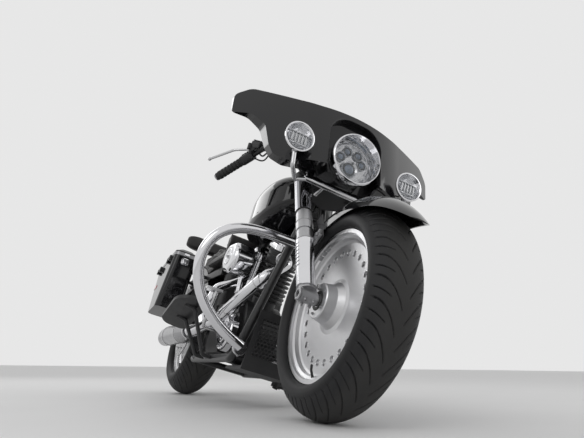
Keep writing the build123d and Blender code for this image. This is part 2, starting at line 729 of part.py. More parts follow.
def control_housings():
    """Switch housing, lever perch with its mirror thread, and fluid reservoir inboard of each grip."""
    out = []
    for side in (-1, 1):
        body = rod(along_grip(-0.42, side), along_grip(-0.01, side), 21, BAR_R + FIT)
        c = along_grip(-0.30, side)
        tank = Pos(c.X + 24, c.Y - side * 14, c.Z + 46) * Rot(0, 20, -side * 25) * Box(58, 40, 30)
        perch = rod((c.X + 4, c.Y, c.Z + 6), (c.X + 44, c.Y + side * 16, c.Z + 14), 12)
        mx = c.X + MIRROR_AT[0]
        my = c.Y + side * MIRROR_AT[1]
        mount = rod((mx, my, c.Z + 8), (mx, my, c.Z + MIRROR_TOP), 9)
        neck = rod((c.X + 12, c.Y - side * 4, c.Z + 6), (c.X + 20, c.Y - side * 12, c.Z + 40), 10)
        solid = body + fillet(tank.edges(), 5) + neck + perch + mount
        solid -= rod((mx, my, c.Z + MIRROR_TOP - MIRROR_DEPTH), (mx, my, c.Z + MIRROR_TOP + 1), MIRROR_R)
        solid -= rod(along_grip(-0.95, side), along_grip(0.1, side), BAR_R + FIT)
        out.append(solid - lever_path(side, FIT))
    return Compound(out)


def hand_levers():
    return Compound([lever_path(side) for side in (-1, 1)])


# Engine

def along_cylinder(tilt, r, y=0.0):
    cx, cz = CRANK
    return (cx + r * sin(radians(tilt)), y, cz + r * cos(radians(tilt)))


def port(tilt, out):
    """A point out from an exhaust port, facing away from the other cylinder."""
    x, _, z = along_cylinder(tilt, PORT_R)
    side = 1 if tilt > 0 else -1
    return (x + side * out * cos(radians(VEE)), -18, z - out * sin(radians(VEE)))


def crankcase():
    cx, cz = CRANK
    case = rod((cx, -76, cz), (cx, 76, cz), 116) + rod((cx, -92, cz - 15), (cx, -70, cz - 15), 86)
    gearbox = panel([(770, 190), (745, 366), (700, 410), (590, 410), (560, 380), (555, 220), (600, 185)],
                    -92, 84)
    pulley = rod((cx - 255, 80, cz + 12), (cx - 255, BELT_Y - 2, cz + 12), 22)
    pulley += rod((cx - 255, BELT_Y - 2, cz + 12), (cx - 255, BELT_Y + BELT_W + 1, cz + 12),
                  FRONT_PULLEY_R - SEAT_GAP)
    sump = panel([(960, 172), (980, 240), (760, 240), (600, 172)], -60, 60)
    lifters = [box(x - 24, x + 24, -98, -70, 345, LIFTER_TOP) for x in (cx - 36, cx + 36)]
    return case + gearbox + sump + lifters + pulley


def cylinders():
    """Finned barrels and heads of a 45 degree twin."""
    solid = None
    for tilt in (-VEE, VEE):
        barrel = rod(along_cylinder(tilt, 100), along_cylinder(tilt, 300), CYLINDER_R)
        head = rod(along_cylinder(tilt, 298), along_cylinder(tilt, 358), FIN_R - 12)
        fins = []
        for i in range(FIN_COUNT):
            r = 146 + i * 18
            fins.append(rod(along_cylinder(tilt, r), along_cylinder(tilt, r + 5), FIN_R))
        stub = rod(port(tilt, 30), port(tilt, PORT_OUT), 24)
        pair = barrel + head + fins + stub
        solid = pair if solid is None else solid + pair
    cx, cz = CRANK
    solid += rod((cx - 100, -18, INTAKE_Z), (cx + 100, -18, INTAKE_Z), 20)
    solid += rod((cx, -18, INTAKE_Z), (cx, -INTAKE_OUT, INTAKE_Z), 24)
    return solid - rod((cx, -90, cz), (cx, 90, cz), 116 + SEAT_GAP)


def rocker_covers():
    covers = []
    for tilt in (-VEE, VEE):
        base = along_cylinder(tilt, 358 + SEAT_GAP)
        plane = Plane(origin=base, x_dir=(cos(radians(tilt)), 0, -sin(radians(tilt))),
                      z_dir=(sin(radians(tilt)), 0, cos(radians(tilt))))
        low = extrude(RectangleRounded(150, 118, 30), amount=22)
        high = Pos(0, 0, 22) * extrude(RectangleRounded(126, 94, 26), amount=20)
        covers.append(plane.location * (low + fillet(high.edges().group_by(Axis.Z)[-1], 8)))
    return Compound(covers)


def cover_plate(circles, y0, y1, soften):
    """Hull of side-view circles (x, z, radius), extruded from y0 to y1 with a softened outer edge."""
    plane = Plane(origin=(0, y0, 0), x_dir=(1, 0, 0), z_dir=(0, 1 if y1 > y0 else -1, 0))
    flip = -1 if y1 > y0 else 1
    hull = make_hull(Sketch([Pos(x, flip * z) * Circle(r) for x, z, r in circles]).edges())
    solid = extrude(hull, amount=abs(y1 - y0))
    solid = fillet(solid.edges().group_by(Axis.Z)[-1], soften)
    return plane.location * solid


def cam_cover():
    cx, cz = CRANK
    return cover_plate([(cx + 28, cz - 38, 78), (cx - 58, cz - 4, 46)], -92 - SEAT_GAP, -CAM_OUT, 10)


def primary_cover():
    cx, cz = CRANK
    cover = cover_plate([(cx, cz, 104), (cx - 255, cz + 12, 92)], 84 + SEAT_GAP, PRIMARY_OUT, 16)
    plane = Plane(origin=(0, BELT_Y + BELT_W + 4, 0), x_dir=(1, 0, 0), z_dir=(0, -1, 0))
    slot = make_hull(Sketch([Pos(cx - 255, cz + 12) * Circle(FRONT_PULLEY_R + 12),
                             Pos(300, cz + 12) * Circle(100)]).edges())
    return cover - plane.location * extrude(slot, amount=60)


def pushrod_tubes():
    cx, _ = CRANK
    tubes = []
    for side in (-1, 1):
        for x0, x1, z1 in ((26, 88, 604), (46, 118, 588)):
            tubes.append(rod((cx + side * x0, -88, LIFTER_TOP + 3), (cx + side * x1, -86, z1), 8.5))
    return Compound(tubes)


def air_cleaner():
    cx, _ = CRANK
    neck = rod((cx, -INTAKE_OUT - SEAT_GAP, INTAKE_Z), (cx, -134, INTAKE_Z), 22)
    cover = cover_plate([(cx + 38, 552, 62), (cx + 82, 545, 65)], -122, -206, 22)
    return neck + cover


def muffler_point(x):
    t = (MUFFLER_FRONT - x) / (MUFFLER_FRONT - MUFFLER_REAR)
    return (x, -201 + 10 * t, MUFFLER_Z)


def exhaust_headers():
    start = PORT_OUT + SEAT_GAP
    front = bent([port(VEE, start), port(VEE, start + 62), (1168, -112, 452), (890, -160, 300),
                  muffler_point(740), muffler_point(MUFFLER_FRONT + SEAT_GAP)], HEADER_R, [34, 44, 160, 100])
    rear = bent([port(-VEE, start), port(-VEE, start + 40), (638, -140, 470), (664, -176, 330),
                 (770, -182, 272)], HEADER_R, [26, 46, 60])
    return front + rear


def muffler():
    body = cone(muffler_point(MUFFLER_FRONT), muffler_point(530), HEADER_R + 6, MUFFLER_R)
    body += rod(muffler_point(530), muffler_point(MUFFLER_REAR), MUFFLER_R)
    body -= rod(muffler_point(MUFFLER_REAR + 150), muffler_point(MUFFLER_REAR - 20), MUFFLER_R - 4)
    cut = [(MUFFLER_REAR + 122, 320), (MUFFLER_REAR + 20, 180), (-400, 180), (-400, 320)]
    return body - panel(cut, -300, -130)


# Tank, seat and rear end

def tank_form():
    faces = []
    for share, half, low, high, r_top, r_low in TANK_SECTIONS:
        x = TANK_REAR + share * (TANK_FRONT - TANK_REAR)
        face = Pos(0, (low + high) / 2) * Rectangle(2 * half, high - low)
        face = fillet(face.vertices().group_by(Axis.Y)[-1], r_top)
        face = fillet(face.vertices().group_by(Axis.Y)[0], r_low)
        faces.append(Plane(origin=(x, 0, 0), x_dir=(0, 1, 0), z_dir=(1, 0, 0)) * face)
    return loft(Sketch(faces).faces())


def fuel_tank():
    x1 = TANK_FRONT + 84
    top = 872.0
    half = BACKBONE_R + SEAT_GAP
    tunnel = panel([(x1, 600), (x1, top), (600, top - 128), (560, 600)], -half, half)
    return tank_form() - tunnel


def tank_console():
    hull = make_hull(Sketch([Pos(1010, 0) * Circle(46), Pos(800, 0) * Circle(30)]).edges())
    body = extrude(Pos(0, 0, 880) * hull, amount=80)
    return (body & box(700, 1100, -100, 100, 880, 956)) - Pos(0, 0, CONSOLE_LIFT) * tank_form()


def rear_fender():
    _, _, cz = REAR_AXLE

    def band(inset, half):
        a0 = radians(38.0)
        a1 = radians(166.0)
        am = (a0 + a1) / 2
        outer = FENDER_OUT - inset
        skirt = 290.0

        def at(r, a):
            return (r * cos(a), 0, cz + r * sin(a))

        edges = [ThreePointArc(at(outer, a0), at(outer, am), at(outer, a1)), Line(at(outer, a1), at(skirt, a1)),
                 ThreePointArc(at(skirt, a1), at(skirt, am), at(skirt, a0)), Line(at(skirt, a0), at(outer, a0))]
        return extrude(make_face(edges), amount=half, both=True)

    return band(0, FENDER_HALF) - band(FENDER_WALL, FENDER_HALF - FENDER_WALL)


def fender_struts():
    """Side plates over the rear fender, each with two posts that the saddlebag's inner wall docks on."""
    solids = []
    for side in (-1, 1):
        y0 = min(side * STRUT_Y, side * (STRUT_Y + STRUT_T))
        bar = panel(STRUT_OUTLINE, y0, y0 + STRUT_T)
        for x, z in DOCKS:
            bar += rod((x, side * (STRUT_Y + 2), z), (x, side * (BAG_IN - SEAT_GAP), z), DOCK_R)
        solids.append(bar)
    return Compound(solids)


def seat():
    rider = panel([(640, 704), (600, 628), (318, 628), (300, 700), (340, 706), (430, 684), (540, 694),
                   (628, 752)], -145, 145)
    pillion = panel([(330, 640), (40, 600), (22, 690), (30, 748), (280, 762), (336, 716)], -105, 105)
    rider = fillet(rider.edges().filter_by(Axis.Y), 12)
    pillion = fillet(pillion.edges().filter_by(Axis.Y), 12)
    solid = rider + pillion
    _, _, cz = REAR_AXLE
    solid -= rod((0, -200, cz), (0, 200, cz), FENDER_OUT + PANEL_GAP)
    solid -= Pos(0, 0, PANEL_GAP) * tank_form()
    solid -= spine(PANEL_GAP)
    for side in (-1, 1):
        y0 = min(side * (STRUT_Y - 1), side * (STRUT_Y + STRUT_T + 1))
        solid -= box(-200, 530, y0, y0 + STRUT_T + 2, 500, 640)
    return solid


def backrest():
    """Wide pad on a hoop that stands on the struts' outer faces."""
    pad = box(-74, -14, -PAD_HALF, PAD_HALF, PAD_LOW, PAD_TOP)
    pad = fillet(pad.edges(), 14)
    y = STRUT_Y + STRUT_T + SEAT_GAP + 7
    bar = bent([(-56, -y, 562), (-48, -y, 836), (-48, y, 836), (-56, y, 562)], 7, 40)
    return pad + bar


def tail_lamp():
    _, _, cz = REAR_AXLE
    a = radians(150.0)
    x = (FENDER_OUT + 2) * cos(a)
    z = cz + (FENDER_OUT + 2) * sin(a)
    lamp = box(x - 60, x + 6, -52, 52, z - 22, z + 30)
    lamp = fillet(lamp.edges(), 8)
    plate = box(x - 66, x - 60, -90, 90, z - 150, z - 20)
    arm = box(x - 62, x + 30, -20, 20, z - 40, z - 10)
    return (lamp + plate + arm) - rod((0, -200, cz), (0, 200, cz), FENDER_OUT + PANEL_GAP)


def oil_tank():
    body = box(524, 600, -96, 118, 410.3, 566)
    return fillet(body.edges().filter_by(Axis.Z), 24)


# Guard, floorboards, exhaust side and stand

def guard_x(z):
    return GUARD_X + 0.18 * (z - 180)


def engine_guard():
    """Hoop on each side in one tube, clamped to the rails' front ends and stayed to the downtubes."""
    low_y, low_z = GUARD_LOW
    path = Spline(*[(guard_x(z), -y, z) for y, z in GUARD_CURVE],
                  tangents=[(0, -1, 0), (guard_x(-26) - guard_x(0), 62, -25)])
    half = sweep(Plane(origin=path @ 0, z_dir=path % 0) * Circle(GUARD_R), path=path)
    clamp = rod((guard_x(low_z) - 16, -low_y, low_z - 6), (guard_x(low_z) + 2, -low_y, low_z - 6), 23)
    a, b = DOWNTUBE[0], DOWNTUBE[1]
    t = (a[2] - GUARD_TOP) / (a[2] - b[2])
    x = a[0] + t * (b[0] - a[0]) + TUBE_R + 0.8
    y = a[1] + t * (b[1] - a[1])
    stay = rod((x, -y, GUARD_TOP), (guard_x(GUARD_TOP), -y, GUARD_TOP), 12)
    return half + mirrored(half) + clamp + mirrored(clamp) + stay + mirrored(stay)


def floorboards():
    """Rounded boards pitched up at the front, each on two brackets from the lower rail."""
    out = []
    x, z = BOARD
    for side in (-1, 1):
        plan = make_hull(Sketch([Pos(-110, side * (BOARD_IN + 25)) * Circle(25),
                                 Pos(115, side * (BOARD_IN + 30)) * Circle(30),
                                 Pos(-70, side * (BOARD_OUT - 60)) * Circle(60),
                                 Pos(70, side * (BOARD_OUT - 66)) * Circle(66)]).edges())
        board = Pos(x, 0, z) * Rot(0, -BOARD_PITCH, 0) * extrude(plan, amount=BOARD_T)
        for bx in BRACKET_X:
            under = z + 3 + (bx - x) * tan(radians(BOARD_PITCH))
            board += bent([(bx, side * 300, under), (bx, side * 262, under - 6), (bx, side * 176, RAIL_Z),
                           (bx, side * (RAIL_Y + TUBE_R + SEAT_GAP), RAIL_Z)], 8, [20, 16])
        out.append(board)
    return Compound(out)


def foot_levers():
    out = []
    for side in (-1, 1):
        y = CAM_OUT if side < 0 else PRIMARY_OUT
        arm = bent([(900, side * (y + SEAT_GAP), 252), (900, side * 214, 252), (1000, side * 226, 360),
                    (1004, side * 226, 380)], 7, [16, 10])
        out.append(arm + box(978, 1030, side * 240 - 32, side * 240 + 32, 378, 388))
    return Compound(out)


def drive_belt():
    _, _, cz = REAR_AXLE
    front_r = FRONT_PULLEY_R
    rear_r = REAR_PULLEY_R
    cx, cz1 = CRANK[0] - 255, CRANK[1] + 12
    plane = Plane(origin=(0, BELT_Y + BELT_W, 0), x_dir=(1, 0, 0), z_dir=(0, -1, 0))
    outer = make_hull(Sketch([Pos(0, cz) * Circle(rear_r + BELT_T), Pos(cx, cz1) * Circle(front_r + BELT_T)]).edges())
    inner = make_hull(Sketch([Pos(0, cz) * Circle(rear_r), Pos(cx, cz1) * Circle(front_r)]).edges())
    belt = extrude(outer, amount=BELT_W) - extrude(inner, amount=BELT_W)
    return plane.location * belt


def rear_pulley():
    return turned(REAR_AXLE, [
        (REAR_HUB + SEAT_GAP, 30), (REAR_HUB + SEAT_GAP, 60), (BELT_Y - 2, 60), (BELT_Y - 2, 108),
        (BELT_Y - 0.5, 108), (BELT_Y - 0.5, REAR_PULLEY_R - 0.4), (BELT_Y + BELT_W + 0.5, REAR_PULLEY_R - 0.4),
        (BELT_Y + BELT_W + 0.5, 60),
        (BELT_Y + BELT_W - 2, 30)])


def rear_caliper():
    _, _, z = REAR_AXLE
    bracket = box(112, 160, -ARM_RIGHT + ARM_R + SEAT_GAP, -92, z - 12, z + 36)
    return caliper(REAR_AXLE, REAR_ROTOR_Y - ROTOR_T, 25.0, (12, 20)) + bracket


def chin_spoiler():
    front = panel([(1203, 330), (1179, 205), (1152, 130), (980, 130), (980, 119), (1158, 119), (1190, 200),
                   (1212, 330)], -100, 100)
    window = box(1100, 1300, -78, 78, 168, 300)
    slats = []
    for i in range(9):
        z = 176 + i * 15
        slats.append(panel([(1172 + 0.185 * (z - 160), z), (1180 + 0.185 * (z - 160), z),
                            (1180 + 0.185 * (z - 160), z + 5), (1172 + 0.185 * (z - 160), z + 5)], -79, 79))
    rest = box(1040, 1080, -40, 40, 128, RAIL_Z - CROSS_R - SEAT_GAP)
    return (front - window) + slats + rest


def hung(shape):
    return Pos(BAG_FRONT, 0, BAG_TOP) * Rot(0, -BAG_TILT, 0) * shape


def bag_rect(z):
    """Centre x, centre y, length and width of a saddlebag's section, z below the lid seam."""
    t = -z / BAG_DEPTH
    x0 = -BAG_LENGTH + (BAG_LENGTH - BAG_LOW_REAR) * t
    x1 = -BAG_LOW_FRONT * t
    y_out = BAG_OUT + (BAG_OUT_LOW - BAG_OUT) * t
    return (x0 + x1) / 2, (BAG_IN + y_out) / 2, x1 - x0, y_out - BAG_IN


def bag_section(z, inset, side, trim=0.0):
    x, y, length, width = bag_rect(min(z, 0))
    face = RectangleRounded(length - 2 * (inset + trim), width - 2 * (inset + trim), BAG_CORNER - inset)
    return Pos(x, side * y, z) * face


def bag_form(z0, z1, inset, side, trim=0.0):
    ends = [bag_section(z0, inset, side), bag_section(z1, inset, side, trim)]
    return loft(Sketch(ends).faces(), ruled=True)


def hinge(x, side, lid):
    """One leaf of a lid hinge: the bag's two outer knuckles and pin, or the lid's middle knuckle."""
    y = side * HINGE_OUT
    z = HINGE_UP
    if lid:
        knuckle = rod((x - 14, y, z), (x + 14, y, z), HINGE_R)
        leaf_in = side * (BAG_OUT - 8)
        leaf = box(x - 14, x + 14, min(y, leaf_in), max(y, leaf_in), z + 1, z + HINGE_R)
        return (knuckle + leaf) - rod((x - 40, y, z), (x + 40, y, z), HINGE_PIN + FIT)
    pin = rod((x - 30, y, z), (x + 30, y, z), HINGE_PIN)
    out = side * (HINGE_OUT + HINGE_R)
    root = side * (BAG_OUT - 1.7)
    lugs = []
    for x0 in (x - 30, x + 15):
        lugs.append(rod((x0, y, z), (x0 + 15, y, z), HINGE_R))
        lugs.append(box(x0, x0 + 15, min(out, root), max(out, root), z - 24, z - 1))
    return pin + lugs


def bag(side):
    """Open box that narrows to its bottom, with hinge lugs at the outer edge of the seam."""
    shell = bag_form(-BAG_DEPTH, 0, 0, side)
    for x in HINGES:
        shell += hinge(x, side, False)
    return hung(shell - bag_form(-BAG_DEPTH + BAG_WALL, 0, BAG_WALL, side))


def lid(side):
    """Shallow hollow lid with a softened top, cut away over the hinge lugs."""
    base = SEAT_GAP
    wall_top = base + LID_RISE * 0.6
    solid = bag_form(base, wall_top, 0, side) + bag_form(wall_top, LID_RISE, 0, side, 20)
    solid -= bag_form(base, wall_top - 2, BAG_WALL, side)
    for x in HINGES:
        solid -= box(x - 33, x + 33, min(side * (BAG_OUT - 2), side * 400), max(side * (BAG_OUT - 2), side * 400),
                     base, base + 16)
    for x in HINGES:
        solid += hinge(x, side, True)
    return hung(solid)


def stand_geometry():
    """Pivot, ground point and hinge direction that swings the leg back along the rail."""
    pivot = Vector(*STAND_PIVOT)
    fx, fy = STAND_FOOT
    foot = Vector(fx, fy, fy * LEAN_TAN)
    turn = (foot - pivot).cross(Vector(*STAND_FOLDED) - pivot).normalized()
    return pivot, foot, turn


def side_stand():
    pivot, foot, turn = stand_geometry()
    up = Vector(0, -sin(radians(LEAN)), cos(radians(LEAN)))
    leg = rod(pivot, foot + up * 14, 11)
    pad = Solid.make_cylinder(26, 12, Plane(origin=foot, z_dir=up))
    eye = rod(pivot - turn * STAND_EYE, pivot + turn * STAND_EYE, 20)
    return (leg + pad + eye) - rod(pivot - turn * 30, pivot + turn * 30, STAND_PIN + FIT)


PIECES = {
    "front_tyre": lambda: tyre(FRONT_AXLE, FRONT_TYRE_R, FRONT_TYRE_HALF, FRONT_CROWN),
    "front_rim": lambda: wheel(FRONT_AXLE, FRONT_HUB_RIGHT, FRONT_HUB_LEFT, AXLE_R + FIT),
    "front_rotor": lambda: rotor(FRONT_AXLE, FRONT_ROTOR_Y, FRONT_HUB_LEFT),
    "front_axle": front_axle,
    "fork_sliders": fork_sliders,
    "fork_tubes": fork_tubes,
    "fork_cans": fork_cans,
    "fork_covers": fork_covers,
    "triple_clamps": triple_clamps,
    "front_caliper": front_caliper,
    "front_fender": front_fender,
    "fairing": fairing,
    "headlamp": headlamp,
    "headlamp_lens": headlamp_lens,
    "fog_lamps": fog_lamps,
    "fog_lenses": fog_lenses,
    "lamp_bar": lamp_bar,
    "handlebar": handlebar,
    "grips": grips,
    "rear_tyre": lambda: tyre(REAR_AXLE, REAR_TYRE_R, REAR_TYRE_HALF, REAR_CROWN),
    "rear_rim": lambda: wheel(REAR_AXLE, REAR_HUB, REAR_HUB, AXLE_R + FIT),
    "rear_axle": rear_axle,
    "rear_rotor": lambda: rotor(REAR_AXLE, REAR_ROTOR_Y - ROTOR_T, -REAR_HUB),
    "rear_pulley": rear_pulley,
    "rear_caliper": rear_caliper,
    "drive_belt": drive_belt,
    "frame": frame,
    "swingarm": swingarm,
    "inner_fairing": inner_fairing,
    "control_housings": control_housings,
    "hand_levers": hand_levers,
    "crankcase": crankcase,
    "cylinders": cylinders,
    "rocker_covers": rocker_covers,
    "cam_cover": cam_cover,
    "primary_cover": primary_cover,
    "pushrod_tubes": pushrod_tubes,
    "air_cleaner": air_cleaner,
    "exhaust_headers": exhaust_headers,
    "muffler": muffler,
    "fuel_tank": fuel_tank,
    "tank_console": tank_console,
    "seat": seat,
    "backrest": backrest,
    "rear_fender": rear_fender,
    "fender_struts": fender_struts,
    "tail_lamp": tail_lamp,
    "oil_tank": oil_tank,
    "engine_guard": engine_guard,
    "floorboards": floorboards,
    "foot_levers": foot_levers,
    "chin_spoiler": chin_spoiler,
    "bag_right": lambda: bag(-1),
    "bag_left": lambda: bag(1),
    "lid_right": lambda: lid(-1),
    "lid_left": lambda: lid(1),
    "side_stand": side_stand,
}


def placed():
    """Every piece leaned onto the stand, with the whole bike's bottom centre at the origin."""
    pieces = {node: leaned(make()) for node, make in PIECES.items()}
    bounds = Compound(list(pieces.values())).bounding_box()
    shift = Pos(-bounds.center().X, -bounds.center().Y, -bounds.min.Z)
    return {node: shift * piece for node, piece in pieces.items()}


def main():
    os.makedirs("parts", exist_ok=True)
    for node, piece in placed().items():
        export_step(piece, f"parts/{node}.step")


if __name__ == "__main__":
    main()
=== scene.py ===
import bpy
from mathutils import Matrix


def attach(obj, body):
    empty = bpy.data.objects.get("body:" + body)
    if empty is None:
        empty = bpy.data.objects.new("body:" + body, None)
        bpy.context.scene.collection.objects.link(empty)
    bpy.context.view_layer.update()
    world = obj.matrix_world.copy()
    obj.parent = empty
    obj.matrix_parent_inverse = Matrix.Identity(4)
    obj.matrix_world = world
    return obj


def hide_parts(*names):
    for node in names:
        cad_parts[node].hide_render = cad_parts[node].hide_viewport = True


bl_info = {
    "name": "Cruiser Motorcycle",
    "version": (1, 0, 0),
    "blender": (4, 5, 0),
    "location": "View3D > Sidebar > Cruiser",
    "description": "Dresses a packed touring cruiser: tyres, lamps, trim, seat, cables and finishes",
    "category": "Object",
}

import math

import bmesh
import bpy
import numpy as np
from bpy.props import FloatProperty, FloatVectorProperty, IntProperty, PointerProperty
from mathutils import Matrix
from mathutils.bvhtree import BVHTree

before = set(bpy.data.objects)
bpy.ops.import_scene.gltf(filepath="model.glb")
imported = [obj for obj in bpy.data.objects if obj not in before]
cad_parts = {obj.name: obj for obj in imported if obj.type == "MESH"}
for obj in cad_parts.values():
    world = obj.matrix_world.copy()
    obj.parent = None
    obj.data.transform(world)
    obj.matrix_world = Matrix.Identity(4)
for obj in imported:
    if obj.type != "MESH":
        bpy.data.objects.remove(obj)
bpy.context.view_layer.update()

LEAN = math.radians(15.0)
RAKE = math.radians(32.0)
SHIFT = np.array([-0.791214, -0.215728, 0.0])
WHEELBASE = 1.635
FRONT_TYRE_R, FRONT_CROWN = 0.320, 0.085
REAR_TYRE_R, REAR_CROWN = 0.325, 0.095
FRONT_AXLE_Z = FRONT_TYRE_R - FRONT_CROWN + FRONT_CROWN / math.cos(LEAN)
REAR_AXLE_Z = REAR_TYRE_R - REAR_CROWN + REAR_CROWN / math.cos(LEAN)
FRONT_AXLE = np.array([WHEELBASE, 0.0, FRONT_AXLE_Z])
REAR_AXLE = np.array([0.0, 0.0, REAR_AXLE_Z])
X_AXIS = np.array([1.0, 0.0, 0.0])
Y_AXIS = np.array([0.0, 1.0, 0.0])
Z_AXIS = np.array([0.0, 0.0, 1.0])
FORK_X = np.array([math.cos(RAKE), 0.0, math.sin(RAKE)])
FORK_Z = np.array([-math.sin(RAKE), 0.0, math.cos(RAKE)])
FORK_Y = 0.122


# Places: everything is worked out on the upright motorcycle, then leaned onto its stand

def parked(points):
    """Leaned point = (x, y cos l + z sin l, z cos l - y sin l) + shift, for a lean of l about the x axis."""
    p = np.asarray(points, float)
    c, s = math.cos(LEAN), math.sin(LEAN)
    out = np.stack([p[..., 0], p[..., 1] * c + p[..., 2] * s, p[..., 2] * c - p[..., 1] * s], axis=-1)
    return out + SHIFT


def fork_point(x, y, s):
    """Point ahead x, left y and up s along the raked leg, from the front axle."""
    return FRONT_AXLE + FORK_X * x + Y_AXIS * y + FORK_Z * s


# Surfaces

def mesh_object(name, points, faces, body, slot_name, finish, angle=35.0):
    """Object from upright points and face rows, on a body, with sharp edges above an angle."""
    mesh = bpy.data.meshes.new(name)
    mesh.from_pydata(parked(points).tolist(), [], [tuple(f) for f in faces])
    mesh.validate()
    obj = bpy.data.objects.new(name, mesh)
    bpy.context.scene.collection.objects.link(obj)
    mesh.materials.append(FINISHES[finish])
    mesh.shade_smooth()
    mesh.set_sharp_from_angle(angle=math.radians(angle))
    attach(obj, body)
    return obj


def piece(name, parts, body, slot_name, finish):
    """One object from several parts, each (points, faces)."""
    return mesh_object(name, *merge(parts), body, slot_name, finish)


def grid_faces(rows, cols, close_rows=False, close_cols=False):
    """Quads (i, j), (i+1, j), (i+1, j+1), (i, j+1) of a grid, wrapped where it closes."""
    i, j = np.meshgrid(np.arange(rows if close_rows else rows - 1),
                       np.arange(cols if close_cols else cols - 1), indexing="ij")
    i2, j2 = (i + 1) % rows, (j + 1) % cols
    quads = np.stack([i * cols + j, i2 * cols + j, i2 * cols + j2, i * cols + j2], axis=-1)
    return quads.reshape(-1, 4).tolist()


def merge(parts):
    """One point array and face list from several (points, faces)."""
    points, faces, start = [], [], 0
    for p, f in parts:
        p = np.asarray(p, float).reshape(-1, 3)
        points.append(p)
        faces += [[k + start for k in face] for face in f]
        start += len(p)
    return np.concatenate(points), faces


def frame_of(direction):
    """Two unit vectors across a direction d: a = u x d scaled to 1, b = d x a."""
    d = np.asarray(direction, float)
    d = d / np.linalg.norm(d)
    up = Z_AXIS if abs(d[2]) < 0.9 else X_AXIS
    a = np.cross(up, d)
    a /= np.linalg.norm(a)
    return a, np.cross(d, a), d


def turned(centre, axis, profile, steps=64):
    """Turned surface: P(t, k) = c + h_k d + r_k (a cos t + b sin t) for a closed profile of (h, r)."""
    a, b, d = frame_of(axis)
    prof = np.asarray(profile, float)
    t = np.linspace(0.0, 2.0 * np.pi, steps, endpoint=False)
    ring = a[None, :] * np.cos(t)[:, None] + b[None, :] * np.sin(t)[:, None]
    p = np.asarray(centre)[None, None, :] + prof[None, :, 0, None] * d + prof[None, :, 1, None] * ring[:, None, :]
    return p.reshape(-1, 3), grid_faces(steps, len(prof), close_rows=True, close_cols=True)


def smooth_path(points, steps=12):
    """Catmull-Rom curve: each span is the cubic through its two points with tangents (next - last) / 2."""
    p = np.asarray(points, float)
    q = np.concatenate([[2 * p[0] - p[1]], p, [2 * p[-1] - p[-2]]])
    t = np.linspace(0.0, 1.0, steps, endpoint=False)[:, None]
    spans = []
    for k in range(len(p) - 1):
        p0, p1, p2, p3 = q[k], q[k + 1], q[k + 2], q[k + 3]
        spans.append(0.5 * ((2 * p1) + (p2 - p0) * t + (2 * p0 - 5 * p1 + 4 * p2 - p3) * t ** 2
                            + (3 * p1 - p0 - 3 * p2 + p3) * t ** 3))
    return np.concatenate(spans + [p[-1:]])


def tube(path, radius, sides=12, round_ends=True):
    """Tube: P(s, t) = C(s) + r(s) (N cos t + B sin t), N and B carried along C without twist, ends rounded."""
    c = np.asarray(path, float)
    tangent = np.gradient(c, axis=0)
    tangent /= np.linalg.norm(tangent, axis=1)[:, None]
    r = np.broadcast_to(np.asarray(radius, float), (len(c),)).copy()
    if round_ends:
        lift = np.array([0.0, 0.5, 0.87])
        start = c[0] - tangent[0] * r[0] * 0.6 * (1 - lift)[:, None]
        end = c[-1] + tangent[-1] * r[-1] * 0.6 * (1 - lift)[::-1, None]
        grow = np.array([0.02, 0.62, 0.9])
        c = np.concatenate([start, c, end])
        r = np.concatenate([r[0] * grow, r, r[-1] * grow[::-1]])
        tangent = np.concatenate([np.repeat(tangent[:1], 3, 0), tangent, np.repeat(tangent[-1:], 3, 0)])
    normal, _, _ = frame_of(tangent[0])
    normals = [normal]
    for k in range(1, len(c)):
        n = normals[-1] - tangent[k] * np.dot(normals[-1], tangent[k])
        normals.append(n / np.linalg.norm(n))
    n = np.array(normals)
    b = np.cross(tangent, n)
    t = np.linspace(0.0, 2.0 * np.pi, sides, endpoint=False)
    p = c[:, None, :] + r[:, None, None] * (n[:, None, :] * np.cos(t)[None, :, None]
                                            + b[:, None, :] * np.sin(t)[None, :, None])
    faces = grid_faces(len(c), sides, close_cols=True)
    last = (len(c) - 1) * sides
    faces.append(list(range(sides))[::-1])
    faces.append([last + k for k in range(sides)])
    return p.reshape(-1, 3), faces


def block(centre, ux, uy, uz, size, soften=0.15):
    """Softened block: corners of a superellipsoid |x|^n + |y|^n + |z|^n = 1 stretched to a size."""
    n = 24
    u = np.linspace(-np.pi, np.pi, n, endpoint=False) + np.pi / n
    v = np.linspace(-np.pi / 2, np.pi / 2, 13)
    u, v = np.meshgrid(u, v, indexing="ij")
    d = np.stack([np.cos(v) * np.cos(u), np.cos(v) * np.sin(u), np.sin(v)], -1)
    d = d / np.max(np.abs(d), axis=-1, keepdims=True)
    e = 2.0 / max(soften, 0.02)
    d = d / (np.sum(np.abs(d) ** e, axis=-1, keepdims=True) ** (1.0 / e))
    half = np.asarray(size, float) / 2
    p = (np.asarray(centre) + d[..., :1] * half[0] * np.asarray(ux) + d[..., 1:2] * half[1] * np.asarray(uy)
         + d[..., 2:] * half[2] * np.asarray(uz))
    return p.reshape(-1, 3), grid_faces(n, 13, close_rows=True)


def box(centre, size, soften):
    """Softened block along the upright axes."""
    return block(centre, X_AXIS, Y_AXIS, Z_AXIS, size, soften)


def bolt(centre, axis, radius, height, sides=6):
    """Cap bolt: a washer, a head of n sides with a softened rim and a sunk centre, as one turned profile."""
    r, h = radius, height
    washer = turned(centre, axis, [(0, 0.0), (0, 1.35 * r), (0.18 * h, 1.35 * r), (0.22 * h, 1.25 * r),
                                   (0.22 * h, 0.0)], 16)
    head = turned(centre, axis, [(0.2 * h, 0.0), (0.2 * h, r), (0.85 * h, r), (h, 0.86 * r), (h, 0.5 * r),
                                 (0.6 * h, 0.45 * r), (0.6 * h, 0.0)], sides)
    return merge([washer, head])


# Shader maths

